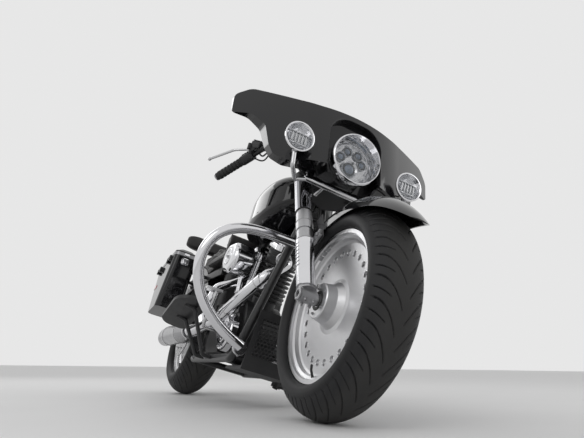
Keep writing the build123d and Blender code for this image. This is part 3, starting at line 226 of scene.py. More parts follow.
class Sock:
    """One value in a node tree; arithmetic on it adds the Math nodes."""

    def __init__(self, mat, link):
        self.mat = mat
        self.link = link

    def math(self, operation, *others, flip=False):
        values = list(others) + [self] if flip else [self] + list(others)
        return self.mat.node("ShaderNodeMath", {"operation": operation}, dict(enumerate(values)))

    def __add__(self, other):
        return self.math("ADD", other)

    def __radd__(self, other):
        return self.math("ADD", other)

    def __sub__(self, other):
        return self.math("SUBTRACT", other)

    def __rsub__(self, other):
        return self.math("SUBTRACT", other, flip=True)

    def __mul__(self, other):
        return self.math("MULTIPLY", other)

    def __pow__(self, other):
        return self.math("POWER", other)

    def __lt__(self, other):
        return self.math("LESS_THAN", other)

    def sin(self):
        return self.math("SINE")

    def step(self, low, high):
        """0 below low, 1 above high, smooth between."""
        return self.mat.node("ShaderNodeMapRange", {"interpolation_type": "SMOOTHSTEP"},
                             {"Value": self, "From Min": low, "From Max": high})


class Finish:
    """A material with one Principled shader, built from expressions."""

    def __init__(self, name, **plain):
        self.data = bpy.data.materials.new(name)
        self.data.use_nodes = True
        self.tree = self.data.node_tree
        self.shader = self.tree.nodes["Principled BSDF"]
        for key, value in plain.items():
            self.shader.inputs[key.replace("_", " ")].default_value = value

    def node(self, kind, settings=None, inputs=None, output=0):
        """Add a node of a type with its settings, then the values or links of its sockets."""
        n = self.tree.nodes.new(kind)
        for key, value in (settings or {}).items():
            if key == "stops":
                ramp = n.color_ramp
                while len(ramp.elements) < len(value):
                    ramp.elements.new(0.5)
                for element, (place, colour) in zip(ramp.elements, value):
                    element.position = place
                    element.color = (*colour, 1.0)
            else:
                setattr(n, key, value)
        for key, value in (inputs or {}).items():
            if isinstance(value, Sock):
                self.tree.links.new(value.link, n.inputs[key])
            else:
                n.inputs[key].default_value = value
        return Sock(self, n.outputs[output])

    def place(self, shift=(0, 0, 0)):
        """Object coordinates, moved."""
        here = self.node("ShaderNodeTexCoord", output="Object")
        return self.node("ShaderNodeMapping", None, {"Vector": here, "Location": shift})

    def noise(self, scale, detail=4.0, rough=0.5):
        return self.node("ShaderNodeTexNoise", None,
                         {"Vector": self.place(), "Scale": scale, "Detail": detail, "Roughness": rough})

    def axes(self, where=None):
        split = self.tree.nodes.new("ShaderNodeSeparateXYZ")
        self.tree.links.new((where or self.place()).link, split.inputs[0])
        return [Sock(self, out) for out in split.outputs]

    def blend(self, factor, a, b):
        """Mix of two colours."""
        n = self.tree.nodes.new("ShaderNodeMix")
        n.data_type = "RGBA"
        for socket, value in ((n.inputs[0], factor), (n.inputs[6], a), (n.inputs[7], b)):
            if isinstance(value, Sock):
                self.tree.links.new(value.link, socket)
            else:
                socket.default_value = (*value, 1.0) if isinstance(value, tuple) else value
        return Sock(self, n.outputs[2])

    def bump(self, height, strength, distance):
        return self.node("ShaderNodeBump", None, {"Height": height, "Strength": strength, "Distance": distance})

    def feed(self, **links):
        for key, value in links.items():
            self.tree.links.new(value.link, self.shader.inputs[key.replace("_", " ")])
        return self.data


# Finishes

def gloss_paint(name, colour):
    """Clear-coated paint: orange peel in the bump, faint dust and hazing in a random cloud."""
    f = Finish(name, Metallic=0.0, Coat_Weight=0.35, Coat_Roughness=0.02, Specular_IOR_Level=0.3)
    cloud = f.noise(3.0, 5.0, 0.6)
    grit = f.noise(900.0, 2.0, 0.7)
    film = (cloud - 0.35).step(0.0, 0.5)
    f.feed(Base_Color=f.blend(film * 0.05, tuple(colour), (0.11, 0.105, 0.10)),
           Roughness=0.05 + film * 0.07 + grit * 0.02,
           Normal=f.bump(f.noise(260.0, 1.5, 0.4), 0.012, 0.001))
    return f.data


def chrome_plate(name, colour=(0.80, 0.80, 0.82), rough=0.05):
    """Plated metal: rubbed smudges and a very slight wave."""
    f = Finish(name, Metallic=1.0)
    smear = f.noise(14.0, 6.0, 0.65)
    fine = f.noise(420.0, 3.0, 0.6)
    f.feed(Base_Color=f.blend(smear * 0.35, tuple(colour), tuple(c * 0.78 for c in colour)),
           Roughness=rough + (smear - 0.45).step(0.0, 0.35) * 0.10 + fine * 0.03,
           Normal=f.bump(f.noise(38.0, 2.0, 0.5), 0.03, 0.001))
    return f.data


def cast_metal(name, colour, rough, grain=500.0, depth=0.10, metallic=1.0):
    """Cast or bead-blasted alloy: fine grain bump, uneven sheen."""
    f = Finish(name, Metallic=metallic)
    cloud = f.noise(9.0, 5.0, 0.6)
    sand = f.noise(grain, 3.0, 0.7)
    f.feed(Base_Color=f.blend(cloud * 0.5, tuple(colour), tuple(c * 0.80 for c in colour)),
           Roughness=rough + (cloud - 0.5) * 0.14 + (sand - 0.5) * 0.10,
           Normal=f.bump(sand, depth, 0.0006))
    return f.data


def radius_about(f, centre):
    """Distance from a wheel's axle line, for patterns that follow the lathe."""
    x, y, z = f.axes(f.place(tuple(-v for v in parked(centre))))
    across = y * math.sin(LEAN) + z * math.cos(LEAN)
    return (x * x + across * across) ** 0.5


def lathe_metal(name, centre, colour, rough, pitch=0.0009, depth=0.10):
    """Machined disc: rings every pitch round the axle, h = sin(2 pi r / pitch), and rubbed patches."""
    f = Finish(name, Metallic=1.0)
    r = radius_about(f, centre)
    rings = (r * (2 * math.pi / pitch)).sin()
    cloud = f.noise(11.0, 5.0, 0.6)
    f.feed(Base_Color=f.blend(cloud * 0.45, tuple(colour), tuple(c * 0.82 for c in colour)),
           Roughness=rough + (cloud - 0.5) * 0.12 + rings * 0.02,
           Normal=f.bump(rings + f.noise(700.0, 2.0, 0.5), depth, 0.0002))
    return f.data


def moulded(name, colour, rough, grain=1400.0, depth=0.25, spread=0.06):
    """Moulded plastic or rubber: a fine grain and slight fading."""
    f = Finish(name, Metallic=0.0, Specular_IOR_Level=0.45)
    cloud = f.noise(6.0, 4.0, 0.6)
    skin = f.noise(grain, 2.0, 0.6)
    faded = tuple(min(1.0, c * 1.7 + 0.006) for c in colour)
    f.feed(Base_Color=f.blend((cloud - 0.3).step(0.0, 0.6), tuple(colour), faded),
           Roughness=rough + (cloud - 0.5) * spread * 2,
           Normal=f.bump(skin, depth, 0.0004))
    return f.data


def tyre_rubber(name, centre, outer):
    """Tyre: dusty tread, fine mould rings on the wall, blacker wall."""
    f = Finish(name, Metallic=0.0, Specular_IOR_Level=0.35)
    r = radius_about(f, centre)
    worn = r.step(outer - 0.030, outer - 0.004)
    rings = (r * (2 * math.pi / 0.0032)).sin() * (1 - worn)
    dust = f.noise(22.0, 6.0, 0.7)
    colour = f.blend(worn * (0.35 + dust * 0.4), (0.011, 0.011, 0.012), (0.050, 0.049, 0.047))
    f.feed(Base_Color=colour, Roughness=0.52 + worn * 0.2 + dust * 0.1,
           Normal=f.bump(rings * 0.5 + f.noise(1100.0, 3.0, 0.7) * 0.6, 0.22, 0.0006))
    return f.data


def leather(name, colour):
    """Grained leather: cell borders as creases, lighter worn patches in a random cloud."""
    f = Finish(name, Metallic=0.0, Specular_IOR_Level=0.4)
    cells = f.node("ShaderNodeTexVoronoi", {"feature": "DISTANCE_TO_EDGE"},
                   {"Vector": f.place(), "Scale": 330.0}, "Distance")
    cloud = f.noise(12.0, 5.0, 0.6)
    f.feed(Base_Color=f.blend(cloud * 0.6, tuple(colour), tuple(c * 1.8 + 0.006 for c in colour)),
           Roughness=0.46 + (cloud - 0.5) * 0.22 + cells * 0.1,
           Normal=f.bump(cells.step(0.0, 0.28) + f.noise(90.0, 3.0, 0.5) * 0.5, 0.35, 0.0007))
    return f.data


def clear_glass(name, tint=(0.50, 0.53, 0.56), alpha=0.12):
    """Lamp cover: thin clear plastic, mostly see-through, with a sharp reflection."""
    f = Finish(name, Metallic=0.0, IOR=1.45, Coat_Weight=0.25, Coat_Roughness=0.02, Specular_IOR_Level=0.4)
    haze = f.noise(16.0, 4.0, 0.6)
    f.feed(Base_Color=f.blend(haze, tuple(tint), tuple(c * 0.9 for c in tint)),
           Roughness=0.03 + haze * 0.04, Alpha=alpha - 0.02 + haze * 0.04)
    return f.data


def lens_block(name, colour, rough=0.08, rib=0.0035):
    """Moulded lamp lens: ribs across it, painted highlights along the ribs in the base colour, and a slight milky
    depth.
    """
    f = Finish(name, Metallic=0.0, Coat_Weight=1.0, Coat_Roughness=0.03)
    _, y, z = f.axes()
    ribs = ((y + z * 0.27) * (2 * math.pi / rib)).sin()
    cloud = f.noise(30.0, 3.0, 0.5)
    # A lighter copy of the colour: mixed in along the ribs it is a painted highlight, through the cloud a milky depth.
    milk_and_painted_highlight = tuple(min(1, c * 2.2 + 0.01) for c in colour)
    f.feed(Base_Color=f.blend(ribs * 0.25 + 0.25 + cloud * 0.2, tuple(colour), milk_and_painted_highlight),
           Roughness=rough + cloud * 0.06, Normal=f.bump(ribs, 0.25, 0.0006))
    return f.data


def tail_block(name):
    """Tail piece in three parts by place: red lamp above, black bracket below, and a blank pale plate at the back. The
    red is lighter along the lens ribs, as painted highlights.
    """
    f = Finish(name, Metallic=0.0, Coat_Roughness=0.04)
    x, y, z = f.axes(f.place(tuple(-SHIFT)))
    height = y * math.sin(LEAN) + z * math.cos(LEAN)
    low = height < 0.4846
    plate = low * (x < -0.3664)
    cloud = f.noise(30.0, 3.0, 0.5)
    ribs = ((y * math.cos(LEAN) - z * math.sin(LEAN)) * (2 * math.pi / 0.004)).sin() * (1 - low)
    # Red lamp colour: the lighter stripes along the ribs are painted highlights; the cloud gives a random tone.
    lamp = f.blend(cloud * 0.3 + ribs * 0.15 + 0.15, (0.22, 0.004, 0.006), (0.42, 0.012, 0.014))
    f.feed(Base_Color=f.blend(plate, f.blend(low, lamp, (0.014, 0.014, 0.015)), (0.55, 0.55, 0.54)),
           Roughness=0.10 + low * 0.32 + cloud * 0.05, Coat_Weight=1 - low, Normal=f.bump(ribs, 0.2, 0.0005))
    return f.data


FINISHES = {}


def make_finishes(look):
    black = tuple(look.paint_colour)
    leather_black = tuple(look.seat_colour)
    table = {
        "paint": gloss_paint("GlossBlackPaint", black),
        "frame_coat": cast_metal("FrameCoat", (0.016, 0.016, 0.017), 0.34, 700.0, 0.05, metallic=0.0),
        "case_coat": cast_metal("EngineCoat", (0.022, 0.022, 0.023), 0.48, 900.0, 0.30, metallic=0.0),
        "chrome": chrome_plate("Chrome"),
        "dark_chrome": chrome_plate("DarkChrome", (0.36, 0.36, 0.38), 0.06),
        "satin_chrome": chrome_plate("SatinChrome", (0.58, 0.58, 0.59), 0.20),
        "satin_alloy": cast_metal("SatinAlloy", (0.46, 0.46, 0.47), 0.32, 600.0, 0.08),
        "bright_alloy": cast_metal("BrightAlloy", (0.66, 0.66, 0.67), 0.20, 600.0, 0.03),
        "muffler": chrome_plate("MufflerSatin", (0.40, 0.40, 0.41), 0.26),
        "steel": cast_metal("Steel", (0.42, 0.42, 0.43), 0.30, 500.0, 0.06),
        "front_disc": lathe_metal("FrontWheelDisc", FRONT_AXLE, (0.64, 0.64, 0.65), 0.34),
        "rear_disc": lathe_metal("RearWheelDisc", REAR_AXLE, (0.64, 0.64, 0.65), 0.36),
        "front_rotor": lathe_metal("FrontRotorSteel", FRONT_AXLE, (0.44, 0.44, 0.45), 0.28, 0.0006, 0.2),
        "rear_rotor": lathe_metal("RearRotorSteel", REAR_AXLE, (0.44, 0.44, 0.45), 0.30, 0.0006, 0.2),
        "front_tyre": tyre_rubber("FrontTyreRubber", FRONT_AXLE, FRONT_TYRE_R),
        "rear_tyre": tyre_rubber("RearTyreRubber", REAR_AXLE, REAR_TYRE_R),
        "rubber": moulded("Rubber", (0.016, 0.016, 0.016), 0.62, 700.0, 0.3),
        "hose": moulded("HoseBlack", (0.013, 0.013, 0.014), 0.42, 900.0, 0.15),
        "plastic": moulded("BlackPlastic", (0.018, 0.018, 0.019), 0.48),
        "gloss_plastic": moulded("GlossPlastic", (0.010, 0.010, 0.011), 0.16, 300.0, 0.02),
        "grey_trim": cast_metal("GreyTrim", (0.30, 0.30, 0.31), 0.34, 800.0, 0.05),
        "leather": leather("GrainedLeather", leather_black),
        "glass": clear_glass("LampGlass"),
        "projector": lens_block("ProjectorLens", (0.10, 0.13, 0.18), 0.04, 0.05),
        "lamp_white": lens_block("LampDiode", (0.62, 0.64, 0.66)),
        "red_lens": lens_block("RedLens", (0.30, 0.006, 0.008)),
        "tail_block": tail_block("TailBlock"),
        "mesh_grille": moulded("GrilleMesh", (0.03, 0.03, 0.031), 0.5),
    }
    FINISHES.update(table)


NODE_FINISH = {
    "front_tyre": "front_tyre", "rear_tyre": "rear_tyre", "front_rim": "front_disc", "rear_rim": "rear_disc",
    "front_rotor": "front_rotor", "rear_rotor": "rear_rotor", "front_axle": "steel", "rear_axle": "steel",
    "fork_sliders": "satin_alloy", "fork_tubes": "chrome", "fork_cans": "dark_chrome", "fork_covers": "chrome",
    "triple_clamps": "frame_coat", "front_caliper": "case_coat", "rear_caliper": "case_coat",
    "front_fender": "paint", "fairing": "paint", "inner_fairing": "plastic", "headlamp": "chrome",
    "headlamp_lens": "glass", "fog_lamps": "chrome", "fog_lenses": "glass", "lamp_bar": "satin_chrome",
    "handlebar": "frame_coat", "grips": "rubber", "control_housings": "plastic", "hand_levers": "bright_alloy",
    "rear_pulley": "frame_coat", "drive_belt": "rubber", "frame": "frame_coat", "swingarm": "frame_coat",
    "crankcase": "case_coat", "cylinders": "case_coat", "rocker_covers": "chrome", "cam_cover": "chrome",
    "primary_cover": "chrome", "pushrod_tubes": "chrome", "air_cleaner": "chrome", "exhaust_headers": "chrome",
    "muffler": "muffler", "fuel_tank": "paint", "tank_console": "gloss_plastic", "seat": "leather",
    "backrest": "leather", "rear_fender": "paint", "fender_struts": "frame_coat", "tail_lamp": "tail_block",
    "oil_tank": "case_coat", "engine_guard": "chrome", "floorboards": "frame_coat",
    "foot_levers": "bright_alloy", "chin_spoiler": "plastic", "bag_right": "paint", "bag_left": "paint",
    "lid_right": "paint", "lid_left": "paint", "side_stand": "frame_coat",
}


def finish_nodes():
    for node, key in NODE_FINISH.items():
        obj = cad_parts.get(node)
        if obj is None:
            continue
        for entry in obj.material_slots:
            entry.material = FINISHES[key]
        if not obj.material_slots:
            obj.data.materials.append(FINISHES[key])


# Tyres

def arc_through(p0, p1, p2, count):
    """Circle through three points of a plane, from the first to the last: c is equally far from all three."""
    a, b, c = (np.asarray(p, float) for p in (p0, p1, p2))
    m = np.array([b - a, c - a]) * 2
    centre = np.linalg.solve(m, [b @ b - a @ a, c @ c - a @ a])
    start = math.atan2(*(a - centre)[::-1])
    mid = (math.atan2(*(b - centre)[::-1]) - start) % (2 * math.pi)
    turn = (math.atan2(*(c - centre)[::-1]) - start) % (2 * math.pi)
    if mid > turn:
        turn -= 2 * math.pi
    t = start + np.linspace(0.0, turn, count)
    r = np.linalg.norm(a - centre)
    return centre + r * np.stack([np.cos(t), np.sin(t)], -1)


def tyre_surface(centre, outer, half, crown, depth, pairs, steps=900):
    """Tyre: P(u, k) = axle + y_k Y + (r_k - n_k g(u, y)) (cos u X + sin u Z).

    The profile (y_k, r_k) is the crown arc, the two wall arcs and the bead. The groove g is depth where the
    swept angle pairs * (u - w(|y|)) / 2 pi, less its whole part, is near one half.
    """
    lip, bead = 0.0542, 0.2183
    shoulder = (crown * math.sin(math.radians(60)), outer - crown * 0.5)
    wide = (half, 0.218 + 0.40 * (outer - 0.218))
    foot = (lip, 0.236)
    top = arc_through((-shoulder[0], shoulder[1]), (0.0, outer), shoulder, 76)
    wall = arc_through(shoulder, wide, foot, 14)
    inner = np.array([(lip, bead), (-lip, bead)])
    profile = np.concatenate([top, wall[1:], inner, (wall * [-1, 1])[::-1][:-1]])
    y, r = profile[:, 0], profile[:, 1]
    u = np.linspace(0, 2 * np.pi, steps, endpoint=False)[:, None]
    s = np.abs(y)[None, :] / shoulder[0]
    side = np.sign(y)[None, :] * 0.25
    long_sweep = -1.5 * np.clip(1 - s, 0, 1) ** 1.7
    short_sweep = -0.8 * np.clip(1.1 - s, 0, 2) ** 1.4
    pitch = 2 * np.pi * outer / pairs

    def groove(sweep, low, high, width, shift):
        where = np.abs(((u * pairs / (2 * np.pi) - sweep + side + shift) % 1.0) - 0.5) * pitch
        window = np.clip((s - low) / 0.05, 0, 1) * np.clip((high - s) / 0.06, 0, 1)
        return np.clip((width - where) / 0.0016, 0, 1) * window

    cut = np.maximum(groove(long_sweep, 0.08, 1.02, 0.0030, 0.0), groove(short_sweep, 0.50, 1.06, 0.0020, 0.5))
    cut *= (r > outer - 0.062)[None, :]
    tangent = np.roll(profile, -1, 0) - np.roll(profile, 1, 0)
    normal = np.stack([-tangent[:, 1], tangent[:, 0]], -1)
    normal /= np.linalg.norm(normal, axis=1)[:, None]
    yy = y[None, :] - normal[None, :, 0] * cut * depth
    rr = r[None, :] - normal[None, :, 1] * cut * depth
    ridge = 0.0012 * np.exp(-((r - (bead + 0.034)) / 0.0022) ** 2)
    yy = yy + np.sign(y)[None, :] * ridge[None, :]
    p = (np.asarray(centre) + yy[..., None] * Y_AXIS
         + rr[..., None] * (np.cos(u)[..., None] * X_AXIS + np.sin(u)[..., None] * Z_AXIS))
    faces = grid_faces(steps, len(profile), close_rows=True, close_cols=True)
    return p.reshape(-1, 3), [f[::-1] for f in faces]


class CRUISER_OT_tyres(bpy.types.Operator):
    """Replace both tyres by treaded ones"""
    bl_idname = "cruiser.tyres"
    bl_label = "Treaded tyres"

    def execute(self, context):
        look = context.scene.cruiser_look
        for name, centre, outer, half, crown, body in (
                ("front_tyre", FRONT_AXLE, FRONT_TYRE_R, 0.083, FRONT_CROWN, "front_wheel"),
                ("rear_tyre", REAR_AXLE, REAR_TYRE_R, 0.090, REAR_CROWN, "rear_wheel")):
            points, faces = tyre_surface(centre, outer, half, crown, look.groove_depth, look.groove_count)
            tyre = mesh_object("treaded_" + name, points, faces, body, "tyre", name, angle=50)
            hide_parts(name)
        return {"FINISHED"}


# Lamps

HEADLAMP = np.array([1.477, 0.0, 0.892])
FOG = np.array([1.492, 0.228, 0.878])


def mm(profile):
    return [(h / 1000, r / 1000) for h, r in profile]


def bowl(centre, radius, depth):
    """Reflector bowl: h = -depth (1 - (r / R)^2), a paraboloid with a thin rolled rim."""
    r = np.linspace(0.0, 1.0, 12)
    face = np.stack([-depth * (1 - r ** 2), radius * r], -1)
    back = np.array([(0.0, radius * 1.03), (-0.002, radius * 1.05), (-depth * 1.05, radius * 0.5), (-depth * 1.1, 0.0)])
    return turned(centre, X_AXIS, np.concatenate([face, back])[::-1], 40)


def dome(centre, radius, height):
    """Lens cap: h = H (1 - (r / R)^2) on a short stem."""
    r = np.linspace(1.0, 0.0, 10)
    face = np.stack([height * (1 - r ** 2), radius * r], -1)
    return turned(centre, X_AXIS, np.concatenate([[(-0.006, 0.0), (-0.006, radius)], face]), 32)


def light_pod(centre, inner, depth, ring):
    """Lamp shell: outer bucket, rolled ring and an open reflector back to a floor, as one closed profile."""
    return turned(centre, X_AXIS, ring + [(-depth * 0.3, inner), (-depth * 0.8, inner * 0.86), (-depth, inner * 0.7),
                                          (-depth, 0.0)], 96)


class CRUISER_OT_lamps(bpy.types.Operator):
    """Replace the headlamp and fog lamps by shells with reflectors, projectors and lenses"""
    bl_idname = "cruiser.lamps"
    bl_label = "Headlamp and fog lamps"

    def execute(self, context):
        ring = mm([(-90, 0), (-90, 30), (-78, 73), (-72, 85), (-40, 85), (-32, 90), (-30, 91), (-12, 93), (-9, 96),
                   (-4, 97), (10, 97), (15, 96), (18, 93), (18, 91), (15, 89.5), (-4, 84), (-10, 81)])
        shell = mesh_object("headlamp_shell", *light_pod(HEADLAMP, 0.079, 0.062, ring), "steering", "chrome",
                            "chrome")
        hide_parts("headlamp")
        lamp_parts, lens_parts, core_parts = [], [], []
        spots = [(math.radians(a), 0.045, 0.0185) for a in (168, 120, 60, 12)] + [(math.radians(-90), 0.024, 0.031)]
        for angle, out, radius in spots:
            seat = HEADLAMP + [-0.030, out * math.cos(angle), out * math.sin(angle)]
            lamp_parts.append(bowl(seat, radius, 0.016))
            lens_parts.append(dome(seat - X_AXIS * 0.006, radius * 0.62, radius * 0.42))
            core_parts.append(turned(seat, X_AXIS, mm([(-9, 0), (-9, radius * 700), (-4, radius * 720),
                                                       (-4, radius * 660), (-8, 0)]), 28))
        plate = turned(HEADLAMP, X_AXIS, mm([(-46, 0), (-46, 74), (-36, 76), (-35, 72), (-40, 40), (-40, 0)]), 72)
        lamp_parts.append(plate)
        spread = 14
        for k in range(spread):
            a = 2 * math.pi * (k + 0.5) / spread
            seat = HEADLAMP + [-0.034, 0.068 * math.cos(a), 0.068 * math.sin(a)]
            lamp_parts.append(block(seat, X_AXIS, Y_AXIS * -math.sin(a) + Z_AXIS * math.cos(a),
                                    Y_AXIS * math.cos(a) + Z_AXIS * math.sin(a), (0.010, 0.018, 0.006), 0.4))
        piece("headlamp_reflectors", lamp_parts, "steering", "chrome", "bright_alloy")
        piece("headlamp_projectors", lens_parts, "steering", "lens", "projector")
        piece("headlamp_cells", core_parts, "steering", "black_plastic", "plastic")

        shells, bars, cells, studs = [], [], [], []
        fog_ring = mm([(-38, 0), (-38, 20), (-33, 32), (-27, 41), (-14, 48.5), (-9, 52), (-6, 55), (-1, 55), (0, 53.5),
                       (0, 50), (-3, 48)])
        for side in (-1, 1):
            seat = FOG * [1, side, 1]
            shells.append(light_pod(seat, 0.0455, 0.026, fog_ring))
            for k in range(5):
                y = (k - 2) * 0.0125
                bars.append(box(seat + [-0.0135, y, -0.004], (0.012, 0.0048, 0.034), 0.3))
                cells.append(box(seat + [-0.0180, y + 0.00625, -0.004], (0.006, 0.0070, 0.030), 0.3))
            bars.append(box(seat + [-0.015, 0, 0.016], (0.013, 0.070, 0.0035), 0.3))
            bars.append(box(seat + [-0.015, 0, -0.024], (0.013, 0.062, 0.0035), 0.3))
            studs.append(merge([bolt(seat + [-0.004, 0.0, -0.0525], -Z_AXIS, 0.0028, 0.005),
                                tube([seat + [-0.02, 0, -0.045], seat + [-0.018, 0, -0.056]], 0.010, 16)]))
        fog = piece("fog_shells", shells, "steering", "chrome", "chrome")
        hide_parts("fog_lamps")
        piece("fog_reflector_bars", bars, "steering", "chrome", "bright_alloy")
        piece("fog_diodes", cells, "steering", "lens", "lamp_white")
        piece("fog_studs", studs, "steering", "steel", "steel")
        return {"FINISHED"}


# Wheels and brakes

def ring_of(centre, axis, radius, count, start=0.0):
    """Places round a circle: c + R (a cos t + b sin t), t = start + 2 pi k / count."""
    a, b, _ = frame_of(axis)
    t = start + 2 * np.pi * np.arange(count) / count
    return np.asarray(centre) + radius * (np.cos(t)[:, None] * a + np.sin(t)[:, None] * b)


class CRUISER_OT_wheel_trim(bpy.types.Operator):
    """Add hub bolts and seals, hole edges, valve stems, balance weights, rotor buttons, and dark discs on the rotors as
    painted shade of their drilled holes
    """
    bl_idname = "cruiser.wheel_trim"
    bl_label = "Wheel and brake trim"

    def execute(self, context):
        for tag, centre, body, hub, rotor_y, rotor_side in (
                ("front", FRONT_AXLE, "front_wheel", 0.086, 0.0815, 1),
                ("rear", REAR_AXLE, "rear_wheel", 0.092, -0.0852, -1)):
            edges = []
            for side, y in ((-1, -0.0322), (1, -0.0218)):
                for p in ring_of(centre + Y_AXIS * y, Y_AXIS, 0.167, 26):
                    edges.append(turned(p, Y_AXIS * side, mm([(0, 9.1), (0, 11.2), (0.5, 10.8), (0.6, 9.6)]), 24))
            piece(tag + "_hole_edges", edges, body, "polished", "bright_alloy")
            bolts = [bolt(p, -Y_AXIS, 0.0036, 0.006)
                     for p in ring_of(centre - Y_AXIS * (hub - 0.0005), Y_AXIS, 0.040, 5)]
            seal = turned(centre - Y_AXIS * hub, -Y_AXIS,
                          mm([(-2, 19.5), (-2, 31), (1.0, 30), (1.6, 27), (0.4, 22), (0.2, 19.5)]), 48)
            mesh_object(tag + "_hub_seal", *seal, body, "black_plastic", "rubber")
            piece(tag + "_hub_bolts", bolts, body, "steel", "steel")
            buttons = [bolt(p, Y_AXIS * rotor_side, 0.0042, 0.005)
                       for p in ring_of(centre + Y_AXIS * rotor_y, Y_AXIS, 0.1075, 10)]
            piece(tag + "_rotor_buttons", buttons, body, "steel", "steel")
            rotor_face = centre + Y_AXIS * (rotor_y - 0.0002 * rotor_side)
            # Dark discs stand in for the rotor's drilled holes: their black is painted shade of the holes, not a part's
            # colour.
            hole = mm([(0, 0), (0, 3.2), (0.5, 3.0), (0.45, 2.4), (0.3, 0)])
            hole_shade_discs = [turned(p, Y_AXIS * rotor_side, hole, 14) for lane, r in enumerate((0.116, 0.126, 0.137))
                     for p in ring_of(rotor_face, Y_AXIS, r, 20, lane * 0.105)]
            piece(tag + "_rotor_holes", hole_shade_discs, body, "black_plastic", "plastic")
            valve_root = centre + [0.0, -0.046, -0.213]
            stem = tube([valve_root, valve_root + [0, -0.010, 0.020], valve_root + [0, -0.012, 0.034]],
                        [0.0042, 0.0036, 0.0038], 10)
            mesh_object(tag + "_valve", *stem, body, "rubber", "rubber")
            lip = 0.2085
            weights = [block(centre + [lip * math.cos(a), -0.052, lip * math.sin(a)],
                             Y_AXIS, np.array([-math.sin(a), 0, math.cos(a)]), np.array([math.cos(a), 0, math.sin(a)]),
                             (0.013, 0.018, 0.004), 0.35) for a in (2.0, 2.11, 2.22)]
            piece(tag + "_balance_weights", weights, body, "steel", "steel")
        return {"FINISHED"}


# Fork, bars and cables

def collar(centre, axis, inner, outer, thick, steps=48):
    """Rounded ring: a closed profile from the inner radius to the outer, its outer edges softened."""
    e = min(thick, outer - inner) * 0.3
    return turned(centre, axis, [(0, inner), (0, outer - e), (e, outer), (thick - e, outer), (thick, outer - e),
                                 (thick, inner)], steps)


def grip_point(t, side):
    """Point along the grip's axis: inner end at 0, outer end at 1."""
    inner, outer = np.array([1.000, 0.285, 0.940]), np.array([0.900, 0.345, 0.875])
    p = inner + (outer - inner) * t
    return np.array([p[0], side * p[1], p[2]])


class CRUISER_OT_fork_trim(bpy.types.Operator):
    """Add seals, collars, nuts, bolts, the brake hose and the caliper's pins to the fork"""
    bl_idname = "cruiser.fork_trim"
    bl_label = "Fork trim"

    def execute(self, context):
        rubber, bright, bolts = [], [], []
        for side in (-1, 1):
            y = side * FORK_Y
            leg = lambda s: fork_point(0, y, s)
            rubber.append(collar(leg(0.3735), FORK_Z, 0.0276, 0.0312, 0.0036))
            for s, outer, thick in ((0.318, 0.0300, 0.003), (0.279, 0.0300, 0.003), (0.2275, 0.0322, 0.005)):
                bright.append(collar(leg(s), FORK_Z, 0.0276, outer, thick))
            bright.append(turned(leg(0.772), FORK_Z, mm([(-2, 0), (-2, 21), (2, 21), (3, 19), (3.2, 16), (9, 15),
                                                        (10, 13), (10, 6), (7, 5), (7, 0)]), 6))
            bolts += [bolt(fork_point(dx, side * dy, -0.0195), -FORK_Z, 0.0042, 0.008)
                      for dx in (-0.012, 0.012) for dy in (0.108, 0.134)]
            bolts.append(bolt(fork_point(0.046, side * 0.1034, 0.234), Y_AXIS * side, 0.005, 0.006))
            bolts.append(bolt(fork_point(0.056, side * 0.1034, 0.234), Y_AXIS * side, 0.0035, 0.005))
            bolts += [bolt(fork_point(0.030, side * 0.122, s), FORK_X, 0.0045, 0.008) for s in (0.560, 0.577)]
            bright.append(turned(fork_point(0, side * 0.147, 0), Y_AXIS * side,
                                 mm([(0, 12.6), (0, 19), (1, 20), (5, 20), (6.5, 18), (6.5, 12.6)]), 6))
        piece("fork_seals", rubber, "steering", "rubber", "rubber")
        piece("fork_collars", bright, "steering", "satin_alu", "satin_alloy")
        piece("fork_bolts", bolts, "steering", "steel", "steel")
        top = fork_point(-0.046, 0.0, 0.766)
        nut = turned(top, FORK_Z, mm([(0, 0), (0, 22), (3, 22), (4, 19), (10, 18), (14, 13), (15, 0)]), 32)
        mesh_object("stem_nut", *nut, "steering", "chrome", "chrome")
        hose = smooth_path([fork_point(-0.060, 0.100, 0.128), fork_point(-0.058, 0.112, 0.170),
                            fork_point(-0.036, 0.120, 0.240), fork_point(-0.034, 0.122, 0.340),
                            fork_point(-0.036, 0.120, 0.450), fork_point(-0.040, 0.104, 0.530),
                            fork_point(-0.050, 0.080, 0.600), fork_point(-0.030, 0.090, 0.700),
                            fork_point(-0.020, 0.100, 0.770)])
        heights = (0.300, 0.430)
        clips = [collar(fork_point(-0.0350, 0.121, s), FORK_Z, 0.0036, 0.0062, 0.012, 20) for s in heights]
        clips += [tube([fork_point(-0.031, 0.122, s + 0.006), fork_point(-0.026, 0.122, s + 0.006)], 0.004, 8)
                  for s in heights]
        mesh_object("front_brake_hose", *tube(hose, 0.0036, 10), "steering", "rubber", "hose")
        piece("brake_hose_clips", clips, "steering", "black_plastic", "plastic")
        pins = [bolt(fork_point(-0.062, 0.1052, s), Y_AXIS, 0.0055, 0.006) for s in (0.092, 0.116)]
        piece("caliper_pins", pins, "steering", "steel", "steel")
        return {"FINISHED"}


